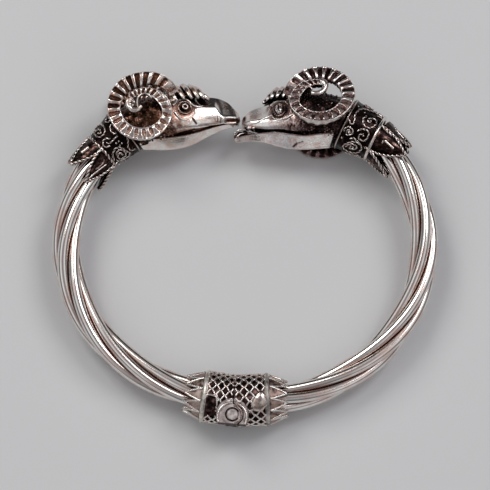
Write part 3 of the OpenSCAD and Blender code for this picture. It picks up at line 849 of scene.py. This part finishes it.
def buildHorn(bm, half, face, centre, scale, lean):
    shape, rows = hornShape, hornShape["rows"]
    front, back = shape["front"], shape["back"]
    first, last = rows[0][0], shape["end"][half]
    pitch = 360 / shape["ribs"]
    put = (Matrix.Diagonal((1, 1, face, 1)) @ Matrix.Translation(centre)
           @ Matrix.Rotation(math.radians(lean), 4, "X") @ Matrix.Diagonal((*scale, 1, 1)))

    def place(u, v):
        degrees = mix(first, last, v)
        a, k = math.radians(degrees), round(u * (front + back))
        r, w, lift = rowAt(rows, degrees)
        r -= shape["tuckedIn"][half] * ease(95, 40, degrees)
        size = math.sqrt(max(0, 1 - ease(last - 9, last, degrees) ** 2)) * (v > 0)
        phase = (degrees - first) / pitch % 1 - 0.5  # 0 in the middle of a pit
        if k <= front:
            out, height, polish = hornFront(half, degrees, phase, math.pi * k / front, r, w)
        else:
            out, height, polish = hornBack(half, degrees, phase, math.pi * (k - front) / back)
        reach = r + w * out * size
        return put @ Vector((reach * math.cos(a), reach * math.sin(a), lift + height * size)), polish

    sheet(bm, front + back, round((last - first) / pitch * shape["stepsARib"]), place)
    for corners, radius, taper, polish in hornCurls[half]:
        wire(bm, [put @ p for p in smoothPath(corners, 0.12)], radius, 12, polish, taper=taper)


# granulated lumps under a horn: place, radii
mounds = {"left": [], "right": [((7.2, 5.3, 1.2), (2.0, 1.4, 2.6))]}


def buildMounds(bm, half, face):
    for (x, y, z), radii in mounds[half]:
        centre = Vector((x, y, z * face))

        def place(p):
            grain = roughened(p, 0.35, 16)
            return p + 0.12 * grain * (p - centre).normalized(), 0.12 + 0.3 * max(0, grain)

        ball(bm, 48, 32, Matrix.Translation(centre) @ Matrix.Diagonal((*radii, 1)), place)


eyeShape = {
    "out": 3.4,
    # radii of the ball and of the wire rings on it and round it, and their width as a share of their height
    "left": {"ball": 0.5, "shine": 0.12, "pupil": 0.44, "lid": 1.2, "narrow": 1.0},
    "right": {"ball": 1.02, "shine": 0.95, "slit": 0.75, "lid": 1.35, "narrow": 0.76},
}


def ringPath(centre, radius, turn, narrow, count=36):
    return [centre + turn @ Vector((radius * narrow * math.cos(fullTurn * k / count),
                                    radius * math.sin(fullTurn * k / count), 0)) for k in range(count)]


def buildEye(bm, half, face):
    x, y = heads[half]["eye"]
    shape = eyeShape[half]
    narrow = shape["narrow"]
    centre = Vector((x, y, eyeShape["out"] * face))
    turn = Matrix.Diagonal((1, 1, face)) @ (Matrix.Rotation(math.radians(-18), 3, "X")
                                            @ Matrix.Rotation(math.radians(14), 3, "Y"))
    normal = turn @ up
    size = shape["ball"]
    put = Matrix.Translation(centre) @ turn.to_4x4() @ Matrix.Diagonal((narrow * size, size, 0.7 * size, 1))
    ball(bm, 32, 20, put, lambda p: (p, shape["shine"]))
    if "pupil" in shape:
        wire(bm, ringPath(centre + normal * 0.4, shape["pupil"], turn, narrow), 0.17, 8, closed=True)
    if "slit" in shape:
        tall = [centre + normal * 0.72 * math.cos(0.9 * q) + turn @ Vector((0, shape["slit"] * q, 0))
                for q in (-1, -0.6, -0.2, 0.2, 0.6, 1)]
        wire(bm, smoothPath(tall, 0.1), 0.12, 8, 0)
    wire(bm, ringPath(centre - normal * 0.12, shape["lid"], turn, narrow), 0.16, polish=0.6, closed=True)


# wires and ridges laid on the sides of each head: corners along and up the head, radius, polish
faceWires = {
    "left": [
        ([(9.2, 3.5), (9.94, 4.21), (10.59, 4.55), (11.41, 4.65), (12.18, 4.16), (12.73, 3.45),
          (13.5, 3.04), (14.49, 3.07)], 0.2, 1),
        ([(9.3, 2.4), (9.78, 1.65), (10.42, 0.97), (11.31, 0.82), (12.33, 1.2), (13.13, 1.96),
          (13.11, 2.7)], 0.18, 0.9),
        ([(20.9, 0.5), (20.2, 0.6), (19.3, 0.66), (18.4, 0.68), (18.0, 0.4), (17.97, 0.05), (18.3, -0.25),
          (19.3, -0.3), (20.3, -0.28)], 0.17, 1),
        ([(17.33, 1.0), (17.1, 0.5), (17.2, 0.0)], 0.13, 1),
        ([(16.75, 0.95), (16.6, 0.45), (16.7, 0.0)], 0.1, 0.9),
    ],
    "right": [
        ([(10.4, 3.2), (11.2, 3.75), (12.2, 4.0), (13.2, 3.6), (13.5, 2.6)], 0.18, 0.95),
        ([(9.5, 0.5), (10.4, 0.12), (11.3, 0.0), (12.1, 0.08), (12.8, 0.45), (13.15, 1.1)], 0.18, 1),
        ([(13.1, 1.2), (14.5, 0.8), (16.0, 0.3), (17.3, 0.06), (17.9, 0.1)], 0.15, 1),
    ],
}
# lumps at the lips: place, radius, how flat, polish
lips = {
    "left": [],
    "right": [
        ((17.35, -0.3, 1.3), 0.5, 0.8, 1), ((16.6, -0.5, 1.6), 0.32, 0.8, 1),
        ((19.95, -0.8, 0.5), 0.24, 1, 0.85), ((19.1, -1.15, 0.2), 0.62, 0.9, 0.2),
        ((18.2, -1.0, 0.3), 0.6, 0.9, 0.15), ((19.8, -1.45, 0.2), 0.4, 0.9, 0.25),
    ],
}
# plain wires at the lips: corners, radius, polish
lipWires = {
    "left": [],
    "right": [
        ([(19.6, -0.62, 0.75), (19.2, -0.45, 0.85), (18.7, -0.42, 0.9), (18.2, -0.6, 0.9)], 0.14, 0.95),
        ([(19.7, -1.75, 0.7), (19.1, -1.35, 0.85), (18.4, -1.15, 0.95)], 0.14, 0.9),
    ],
}


def buildFaceWires(bm, half, face):
    for corners, radius, polish in faceWires[half]:
        path = drawn(corners, 0.16, lambda x, y: skullSide(half, x, y, radius * 0.7, face))
        wire(bm, path, radius, 8, polish)
    for (x, y, z), radius, squash, polish in lips[half]:
        bead(bm, Vector((x, y, z * face)), radius, polish, squash)
    for corners, radius, polish in lipWires[half]:
        wire(bm, [Vector((p.x, p.y, p.z * face)) for p in smoothPath(corners, 0.12)], radius, 8, polish)


def buildHead(half):
    # polished high points over black hollows
    castSilver = agedSilver("cast silver, " + half + " head", castLooks[half])
    bm = newMesh()
    buildSkull(bm, half)
    buildJaw(bm, half)
    buildForelock(bm, half)
    for face in (1, -1):
        buildEye(bm, half, face)
        buildFaceWires(bm, half, face)
        buildGranules(bm, half, face)
        buildMounds(bm, half, face)
    for row in heads[half]["horns"]:
        buildHorn(bm, half, *row)
    bmesh.ops.transform(bm, matrix=headMatrix(half), verts=bm.verts)
    finishPiece(bm, half + "_ram_head", castSilver, half, [half + "_head"])


for half in halves:
    buildHead(half)


# Collars: a dark granulated cone between two rings, filigree scrolls, and leaves that clasp the rope
collarShape = {
    "wall": 0.9,
    "ringWire": 0.32,
    "headWire": 0.14,
    "edgeWire": 0.28,
    "scrollWire": 0.19,
    "twistPitch": 0.82,  # mm along a twisted wire for one full turn
    "leafSpread": 36,  # degrees from a leaf's middle to its root's edge
    "leafShoulder": 0.4,
    "leafWall": 0.42,
    "coneGrid": (120, 40),
    "leafGrid": (28, 26),
    "leafRingTwist": {"left": 0.9, "right": 0},  # the right leaf ring is of plain wire
    "grit": {"left": 90, "right": 220},  # small grains strewn over each face
}
# leaves of each collar: angle of the middle from the top toward the outside, bend toward the inside,
# length, distance of the tip from the axis; then wires on it: distances from the ring and angles,
# radius, polish
collarLeaves = {
    "left": [
        (34, 2.5, 5.8, 3.28, [([(1.4, 32), (2.0, 33), (3.0, 36)], 0.36, 0.8)]),
        (-38, 1.5, 6.1, 3.58, [([(1.3, -47), (2.6, -43), (4.4, -40), (5.3, -40)], 0.15, 1),
                               ([(1.0, -30), (1.5, -36), (2.4, -36), (3.4, -33)], 0.14, 0.6)]),
        (106, 6, 5.3, 3.28, [([(1.2, 106), (3.4, 106)], 0.15, 0.7)]),
        (178, 8.5, 5.6, 3.28, [([(1.4, 176), (3.0, 180)], 0.3, 0.8)]),
        (-110, 13, 5.8, 3.48, [([(1.2, -110), (3.6, -110)], 0.15, 0.7)]),
    ],
    "right": [
        (64, 16, 5.8, 3.28, [([(1.6, 68), (1.75, 68)], 0.3, 1), ([(2.0, 62), (3.9, 64)], 0.2, 0.9)]),
        (-8, 4, 6.4, 3.28, [([(1.7, -8.2), (1.85, -8.2)], 0.34, 1),
                            ([(2.0, -1.8), (3.0, -4.8), (4.05, -8.4)], 0.22, 1)]),
        (-80, 15, 6.3, 3.78, [([(1.9, -80), (3.2, -78)], 0.2, 0.5)]),
        (136, 15, 5.8, 3.28, [([(1.6, 132), (1.75, 132)], 0.3, 1), ([(2.0, 138), (3.9, 136)], 0.2, 0.9)]),
        (-152, 18, 6.2, 3.38, [([(1.6, -150), (3.4, -152)], 0.2, 0.8)]),
    ],
}
filigreeLook = {
    "grain": 0.2, "clouds": 1.2, "patchy": 0.16, "bump": 0.3,
    "colours": [(0, "#0D0A0A"), (0.25, "#2A1F1D"), (0.5, "#7D645C"), (0.75, "#C8BBB3"), (1, "#EDE9E4")],
    "tint": "#E2B29C", "tintShare": 0.4, "roughDark": 0.45, "roughBright": 0.2,
}
# wires on each collar's face: distances from the leaf ring, and arcs from the top toward the outside,
# in mm; the same set lies once more on the far face
scrolls = {
    "left": [
        [(1.9, 5.9), (2.46, 5.4), (3.0, 4.6), (3.1, 3.6), (2.98, 2.53), (2.39, 1.8), (1.62, 1.63),
         (0.99, 2.08), (0.99, 3.14), (1.48, 3.77), (2.04, 3.58), (2.17, 2.8), (1.83, 2.35), (1.53, 2.61)],
        [(2.33, 0.1), (1.8, 0.73), (1.23, 0.78), (0.79, 0.44), (0.61, -0.13), (0.95, -0.56), (1.48, -0.8)],
        [(1.37, 0.14), (1.45, -0.17), (1.84, -0.41), (2.73, -0.39), (3.63, -0.37)],
        [(4.2, 2.1), (3.66, 1.68), (3.4, 1.11), (3.41, 0.32), (3.86, 0.27)],
        [(0.4, -3.5), (0.73, -2.41), (1.32, -1.97), (1.94, -1.81), (2.7, -2.41), (3.19, -3.92),
         (3.38, -4.9), (2.49, -5.36), (1.27, -4.75), (0.7, -3.9)],
        [(1.28, -2.85), (1.81, -2.44), (2.62, -2.86), (2.81, -3.96), (2.32, -4.6), (1.6, -4.37),
         (1.24, -3.54), (1.63, -3.07), (2.15, -3.2), (2.16, -3.83)],
        [(4.9, -1.6), (4.3, -2.6), (3.75, -3.3), (3.9, -4.4), (4.6, -4.9)],
        [(4.6, 4.2), (3.9, 3.6), (4.3, 2.9), (4.9, 3.1), (4.8, 3.7)],
    ],
    "right": [
        [(5.95, 0.44), (5.03, -0.29), (4.55, -0.43), (4.5, 0.39), (4.9, 1.3), (4.84, 2.28), (4.61, 2.99),
         (3.84, 3.82), (3.01, 4.24), (1.64, 4.85), (0.52, 4.83)],
        [(2.97, 2.35), (3.25, 1.51), (2.9, 0.7), (2.25, 0.36), (1.5, 0.48), (0.93, 1.22), (0.86, 2.05),
         (1.32, 2.63), (1.93, 2.46), (2.31, 2.1), (2.4, 1.57), (2.12, 1.42), (1.82, 1.92)],
        [(3.15, -1.16), (2.94, -0.66), (2.35, -0.23), (1.71, -0.16), (1.27, -0.34), (1.06, -1.01),
         (1.23, -1.89), (1.88, -2.24), (2.52, -2.03), (2.46, -1.33), (1.92, -1.05)],
        [(5.42, -2.2), (5.35, -1.5), (4.76, -1.07), (4.12, -1.26), (3.8, -1.63), (4.14, -2.34),
         (4.84, -2.58)],
        [(4.88, -2.19), (4.76, -1.59), (4.28, -1.74), (4.51, -2.13)],
        [(3.88, -4.01), (2.99, -3.14), (1.81, -3.06), (1.19, -3.64), (1.61, -5.17), (2.91, -6.26),
         (4.11, -5.91), (4.42, -4.94), (3.88, -4.01)],
        [(4.0, -5.05), (3.57, -4.15), (2.8, -3.65), (2.01, -4.01), (2.6, -4.82), (3.24, -4.89),
         (3.04, -4.15)],
        [(3.84, -3.03), (3.23, -2.55), (2.33, -2.77), (1.7, -3.0)],
        [(1.35, 3.76), (0.89, 4.06), (0.29, 3.9)],
        [(3.0, 5.4), (3.9, 5.0), (4.4, 5.7), (3.7, 6.5), (2.7, 6.2), (3.2, 5.8)],
        [(0.6, 6.4), (1.5, 5.9), (2.1, 6.6), (1.4, 7.3), (0.9, 6.9)],
    ],
}
# grains on each collar's face: distance from the leaf ring, arc from the top, radius
grains = {
    "left": [
        (2.59, -1.21, 0.2), (3.17, -1.26, 0.17), (3.35, -1.91, 0.2), (2.84, -1.92, 0.17), (0.8, -6.0, 0.26),
        (1.53, 2.75, 0.2), (4.3, 0.9, 0.17), (4.5, -0.6, 0.17), (2.1, -3.6, 0.16),
    ],
    "right": [
        (1.9, 1.75, 0.18), (1.85, -1.3, 0.2), (4.5, -1.9, 0.18), (2.7, -4.4, 0.18), (0.3, 5.4, 0.26),
        (5.2, -3.6, 0.18), (5.1, 3.6, 0.16), (3.6, 2.9, 0.15),
    ],
}


def collarAxes(half):  # foot, length, and the directions along the collar and outward from the bangle
    foot = ovalPoint(half, collars[half]["footAt"])
    ring = Vector((*collars[half]["ring"], 0))
    along = (ring - foot).normalized()
    outward = up.cross(along) * (1 if half == "left" else -1)
    return foot, (ring - foot).length, along, outward


def onCollar(half, s, degrees, lift=0.0):
    foot, length, along, outward = collarAxes(half)
    a = math.radians(degrees)
    r = mix(collars[half]["footR"], collars[half]["ringR"], s / length) + lift
    return foot + along * s + (up * math.cos(a) + outward * math.sin(a)) * r


def arcDegrees(half, s, arc):  # angle of a place that far round the collar from its top
    info = collars[half]
    r = mix(info["footR"], info["ringR"], s / collarAxes(half)[1]) + 0.15
    return math.degrees(arc / r)


def onLeaf(half, leaf, d, degrees, lift=0.0):  # d is the distance down from the leaf ring
    _, bend, length, tip, _ = leaf
    foot, _, along, outward = collarAxes(half)
    tilt = math.radians(bend)
    axis = along * math.cos(tilt) + outward * math.sin(tilt)
    side = outward * math.cos(tilt) - along * math.sin(tilt)
    a = math.radians(degrees)
    r = mix(collars[half]["footR"], tip, d / length) + lift
    return foot - axis * d + (up * math.cos(a) + side * math.sin(a)) * r


def ring(at, count=280):
    return [at(fullTurn * k / count) for k in range(count)]


def buildLeaf(bm, half, leaf):
    middle, _, length, tip, marks = leaf
    foot = collars[half]["footR"]
    rootWidth = foot * math.sin(math.radians(collarShape["leafSpread"]))
    shoulder = collarShape["leafShoulder"]

    def halfAngle(d):
        d = max(0, d)
        width = rootWidth * (1 - (max(0, d - shoulder) / (length - shoulder)) ** 2)
        return math.degrees(math.asin(width / mix(foot, tip, d / length)))

    def place(u, v):
        d = mix(-0.1, length, v)
        side = 4 * u - 1 if u <= 0.5 else 3 - 4 * u  # out along the top, back along the underside
        under = u > 0.5
        q = max(0, d) / length
        angle = middle + side * halfAngle(d)
        crown = 0.12 * (1 - side * side) * (1 - q)
        lift = -collarShape["leafWall"] if under else crown
        shine = 0.05 if under else 0.24 + 0.4 * roughened(Vector((d, angle / 12, 0)), 0.7)
        return onLeaf(half, leaf, d, angle, lift), shine - 0.3 * (not under) * ease(0.55, 0.8, abs(side))

    sheet(bm, *collarShape["leafGrid"], place)
    down = [-0.05] + [length * q for q in (0.2, 0.4, 0.6, 0.75, 0.88)]
    edge = [(d, middle + a) for d, a in pointedEdge(down, halfAngle, length + 0.05)]
    edge = drawn(edge, 0.4, lambda d, degrees: onLeaf(half, leaf, d, degrees, 0.16))
    wire(bm, smoothPath(edge, 0.1), collarShape["edgeWire"], 8, pitch=collarShape["twistPitch"])
    for corners, radius, polish in marks:
        path = drawn(corners, 0.1, lambda d, degrees: onLeaf(half, leaf, d, degrees, 0.1))
        wire(bm, path, radius, 10, polish)


def buildCollar(half):
    # bright worn wire on a ground that is left black
    filigree = agedSilver("oxidised silver filigree, " + half + " collar", filigreeLook)
    length = collarAxes(half)[1]
    bm = newMesh()

    def ground(u, v):  # outside up to the head ring, and back down inside
        outside = v < 0.7
        s = mix(0, length, v / 0.7) if outside else mix(length, 0, (v - 0.7) / 0.3)
        lift = 0 if outside else -collarShape["wall"]
        p = onCollar(half, s, 360 * u, lift)
        grain = roughened(p, 0.42, 2)
        if outside:
            p = onCollar(half, s, 360 * u, 0.07 * grain)
        shade = 0.02 + 0.25 * max(0, grain) + 0.3 * max(0, roughened(p, 1.3, 6))
        return p, shade if outside else 0.05

    sheet(bm, *collarShape["coneGrid"], lambda u, v: ground(u, v if v < 1 else 0))
    leafRing = ring(lambda a: onCollar(half, 0, math.degrees(a), 0.16))
    wire(bm, leafRing, collarShape["ringWire"], 8, 1, True, collarShape["leafRingTwist"][half])
    headRing = ring(lambda a: onCollar(half, length - 0.3, math.degrees(a), 0.05))
    wire(bm, headRing, collarShape["headWire"], 8, 0.7, True)
    for far in (0, 180):
        for corners in scrolls[half]:
            path = drawn(corners, 0.09,
                         lambda s, arc: onCollar(half, s, far + arcDegrees(half, s, arc), 0.14))
            wire(bm, path, collarShape["scrollWire"], 8, pitch=collarShape["twistPitch"])
        for s, arc, size in grains[half]:
            bead(bm, onCollar(half, s, far + arcDegrees(half, s, arc), 0.1), size, 0.9)
    for k in range(2 * collarShape["grit"][half]):
        s = length * (0.08 + 0.84 * (k * 0.618034 % 1))
        p = onCollar(half, s, k * 222.49, 0.02)
        shotGrain(bm, p, 0.13 * (1 + 0.5 * roughened(p, 0.5, 14)), 0.25 + 0.5 * roughened(p, 0.9, 15))
    for leaf in collarLeaves[half]:
        buildLeaf(bm, half, leaf)
    finishPiece(bm, half + "_filigree_collar", filigree, half, [half + "_collar"])


for half in halves:
    buildCollar(half)

# Hinge barrels: the frame's own solids carry wire lattice, hinge rim, solder and pointed crown
barrels = {
    "left": {
        "length": 5.3,
        "axis": 180 - 4,
        "crownTurn": 5,
        # patch that lost its lattice: nearest and farthest place along the barrel, first and last angle
        "bare": (2.9, 5.25, 5, 55),
        "bareEdge": [(5.1, 15), (4.63, 3.4), (3.25, 4.6), (2.9, 14), (2.75, 23), (2.6, 33)],
        "solder": None,
        # wires on the hinge plate: how far their centre lies outside the pin, radius, thickness, first and
        # last angle, polish
        "rims": [
            (0.5, 2.6, 0.22, 98, 205, 0.95), (0, 1.62, 0.16, -70, 85, 0.6), (0, 1.2, 0.1, 30, 330, 0.1),
        ],
        # darker and lighter shade of each worn place
        "tones": {
            "ring": ("#BDB5AA", "#F2EEE6"),
            "crown": ("#4E3C38", "#C9B6AC"),
            "plate": ("#8F8482", "#C4BBB8"),
        },
    },
    "right": {
        "length": 6.0,
        "axis": 7,
        "crownTurn": -9.5,
        "bare": None,
        "bareEdge": None,
        # run over the lattice by an old repair: place and half size along the barrel, angle and half angle
        "solder": (4.55, 1.35, 10, 25),
        "rims": [(0.5, 2.6, 0.22, -25, 82, 0.95)],
        "tones": {
            "ring": ("#857E79", "#CFC9C2"),
            "crown": ("#40302D", "#B59C92"),
            "plate": ("#7D7472", "#BDB4B0"),
        },
    },
}
barrelShape = {
    "radius": 4.55,
    "pinOffset": 3.1,
    "hingeTurn": -5,
    "plateTop": 4.6,
    "plateRadius": 2.86,
    "ringBand": (-0.42, 0.4),
    "cells": 16,  # diamonds round the barrel
    "rows": 3,
    "ends": (0.3, 0.2),  # bare length left beside the gap and beside the ring
    "latticeWire": 0.19,
    "crownLeaves": 12,
    "crownRoot": 4.4,
    "crownTip": 3.05,
    "crownLength": 3.6,
    "crownWire": 0.2,
}
hingePlace = Matrix.Translation(pinAt) @ Matrix.Rotation(math.radians(barrelShape["hingeTurn"]), 4, "Z")


def onBarrel(half, s, degrees, r):
    turn, a = math.radians(barrels[half]["axis"]), math.radians(degrees)
    along = Vector((math.cos(turn), math.sin(turn), 0))
    outward = Vector((math.sin(turn), -math.cos(turn), 0)) * (1 if half == "right" else -1)
    return hingePlace @ (Vector((0, barrelShape["pinOffset"], 0)) + along * s
                         + (up * math.cos(a) + outward * math.sin(a)) * r)


def crownHalfAngle(d):  # half the width of a crown leaf at that distance from its ring, in degrees
    shape = barrelShape
    r = mix(shape["crownRoot"], shape["crownTip"], d / shape["crownLength"])
    base = 0.525 * math.pi * (shape["crownRoot"] + shape["crownTip"]) / shape["crownLeaves"]
    cut = base * (max(0, d - 0.4) / shape["crownLength"]) ** 1.4
    return max(0, 180 / shape["crownLeaves"] - math.degrees(math.asin(min(1, cut / r))))


def buildLattice(bm, half):
    shape, barrel = barrelShape, barrels[half]
    near, far = shape["ends"]
    pitch = (barrel["length"] - 0.35) / shape["rows"]
    for k in range(shape["cells"]):
        for swing in (-1, 1):
            runs = [[]]
            for j in range(61):
                s = mix(near, barrel["length"] - far, j / 60)
                wave = 0.25 * (1 - math.cos(fullTurn * (s / pitch - 0.5)))
                degrees = 360 / shape["cells"] * (k + 0.5 + swing * wave)
                bare = barrel["bare"]
                if bare and bare[0] < s < bare[1] and bare[2] < degrees < bare[3]:
                    runs.append([])
                else:
                    runs[-1].append(onBarrel(half, s, degrees, shape["radius"] - 0.02))
            for run in runs:
                if len(run) > 4:
                    wire(bm, run, shape["latticeWire"], 8, 0.95)
    if barrel["bareEdge"]:
        edge = [(s, degrees / 12) for s, degrees in barrel["bareEdge"]]
        path = drawn(edge, 0.1, lambda s, twelfth: onBarrel(half, s, 12 * twelfth, shape["radius"] + 0.05))
        wire(bm, path, shape["latticeWire"], 8, 0.95)


def buildSolder(bm, half):
    start, reach, middle, spread = barrels[half]["solder"]

    def place(p):
        a, b, c = p
        along = a * reach * (1 + 0.4 * b) * (1 + 0.12 * roughened(p, 0.5, 18)) - 0.25 * b * reach
        spot = onBarrel(half, start + along, middle + b * spread, barrelShape["radius"] + 0.5 * c)
        return spot, 0.78 + 0.25 * roughened(spot, 0.5, 19)

    ball(bm, 40, 24, Matrix(), place)


def buildCrown(bm, half):
    shape, barrel = barrelShape, barrels[half]
    long = shape["crownLength"]
    down = [long * q for q in (0.12, 0.25, 0.4, 0.55, 0.7, 0.82, 0.92)]

    def place(d, degrees):
        r = mix(shape["crownRoot"], shape["crownTip"], d / long) + 0.08
        return onBarrel(half, barrel["length"] + d, degrees, r)

    for k in range(shape["crownLeaves"]):
        middle = barrel["crownTurn"] + 360 * k / shape["crownLeaves"]
        edge = [place(d, middle + a) for d, a in pointedEdge(down, crownHalfAngle, long * 0.98)]
        wire(bm, smoothPath(edge, 0.12), shape["crownWire"], 8)


def buildRims(bm, half):
    top = barrelShape["plateTop"]
    for outside, r, thick, first, last, polish in barrels[half]["rims"]:
        arc = [math.radians(mix(first, last, j / 40)) for j in range(41)]
        path = [hingePlace @ Vector((r * math.cos(a), r * math.sin(a) - outside, top)) for a in arc]
        wire(bm, path, thick, 10, polish)


def buildBarrel(half):
    # bright worn wire over the dark sheet
    filigree = agedSilver("oxidised silver lattice, " + half + " barrel", filigreeLook)
    for slot in frame["nodes"][half + "_hinge_barrel"].material_slots:
        slot.material = barrelMaterial(half)
    bm = newMesh()
    buildLattice(bm, half)
    if barrels[half]["solder"]:
        buildSolder(bm, half)
    buildCrown(bm, half)
    buildRims(bm, half)
    finishPiece(bm, half + "_barrel_wirework", filigree, half)


def barrelMaterial(half):
    # dark oxidised sheet silver behind the wirework, rose where it is rubbed; its end ring, crown
    # and hinge plate are worn lighter
    barrel, shape = barrels[half], barrelShape
    material, tree = newMaterial("oxidised silver sheet, " + half + " barrel")
    place = addNode(tree, "TexCoord").outputs["Object"]
    turn = Matrix.Rotation(restTilt, 3, "X") @ Matrix.Rotation(math.radians(shape["hingeTurn"]), 3, "Z")
    # millimetres from the pin: along the barrels, inward and up
    local = addNode(tree, "Mapping", {"Vector": place},
                    {"Location": hinge["pos_m"], "Rotation": turn.to_euler(), "Scale": (0.001,) * 3},
                    vector_type="TEXTURE")
    axis = math.radians(barrel["axis"])
    along = addNode(tree, "VectorMath", {0: local}, {1: (math.cos(axis), math.sin(axis), 0)},
                    operation="DOT_PRODUCT").outputs["Value"]
    end = barrel["length"] + shape["pinOffset"] * math.sin(axis)
    flat = addNode(tree, "VectorMath", {0: local}, {1: (1, 1, 0)}, operation="MULTIPLY")
    fromPin = addNode(tree, "VectorMath", {0: flat}, operation="LENGTH").outputs["Value"]
    height = addNode(tree, "SeparateXYZ", {"Vector": local}).outputs["Z"]

    def between(source, low, high, edge=0.06):  # 1 where the value lies between two limits
        rise, fall = (addNode(tree, "MapRange", {"Value": source},
                              {"From Min": limit - edge, "From Max": limit + edge, "To Min": first,
                               "To Max": 1 - first})
                      for limit, first in ((low, 0), (high, 1)))
        return addNode(tree, "Math", {0: rise, 1: fall}, operation="MULTIPLY")

    plate = addNode(tree, "Math", {0: between(fromPin, -1, shape["plateRadius"]),
                                   1: between(height, shape["plateTop"] - 0.4, 9)}, operation="MULTIPLY")
    low, high = shape["ringBand"]
    grain = addNode(tree, "TexNoise", {"Vector": place}, {"Scale": perMillimetre(0.3), "Detail": 5})
    clouds = addNode(tree, "TexNoise", {"Vector": place}, {"Scale": perMillimetre(1.1), "Detail": 3})
    colour = addNode(tree, "ValToRGB", {"Fac": clouds})
    setRamp(colour, [(0.35, "#120D0D"), (0.52, "#3A2A28"), (0.68, "#8A6E68")])
    ring, crown = between(along, end + low, end + high), between(along, end + 0.5, end + 9)
    for mask, part in ((ring, "ring"), (crown, "crown"), (plate, "plate")):
        worn = addNode(tree, "ValToRGB", {"Fac": clouds})
        setRamp(worn, list(zip((0.36, 0.62), barrel["tones"][part])))
        colour = addNode(tree, "MixRGB", {"Fac": mask, "Color1": colour, "Color2": worn})
    rough = addNode(tree, "MapRange", {"Value": grain}, {"To Min": 0.3, "To Max": 0.6})
    bump = addNode(tree, "Bump", {"Height": grain}, {"Strength": 0.35, "Distance": 0.0001})
    finishMetal(tree, colour, rough, bump)
    return material


def pinMaterial():
    # worn silver pin, its riveted head dulled by handling
    material, tree = newMaterial("worn silver pin")
    place = addNode(tree, "TexCoord").outputs["Object"]
    clouds = addNode(tree, "TexNoise", {"Vector": place}, {"Scale": perMillimetre(0.7), "Detail": 4})
    colour = addNode(tree, "ValToRGB", {"Fac": clouds})
    setRamp(colour, [(0.35, "#9B918F"), (0.65, "#CFC8C4")])
    rough = addNode(tree, "MapRange", {"Value": clouds}, {"To Min": 0.35, "To Max": 0.55})
    shader = addNode(tree, "BsdfPrincipled", {"Base Color": colour, "Roughness": rough}, {"Metallic": 1.0})
    addNode(tree, "OutputMaterial", {"Surface": shader})
    return material


for half in halves:
    buildBarrel(half)
pinSilver = pinMaterial()
for slot in frame["nodes"]["hinge_pin"].material_slots:
    slot.material = pinSilver
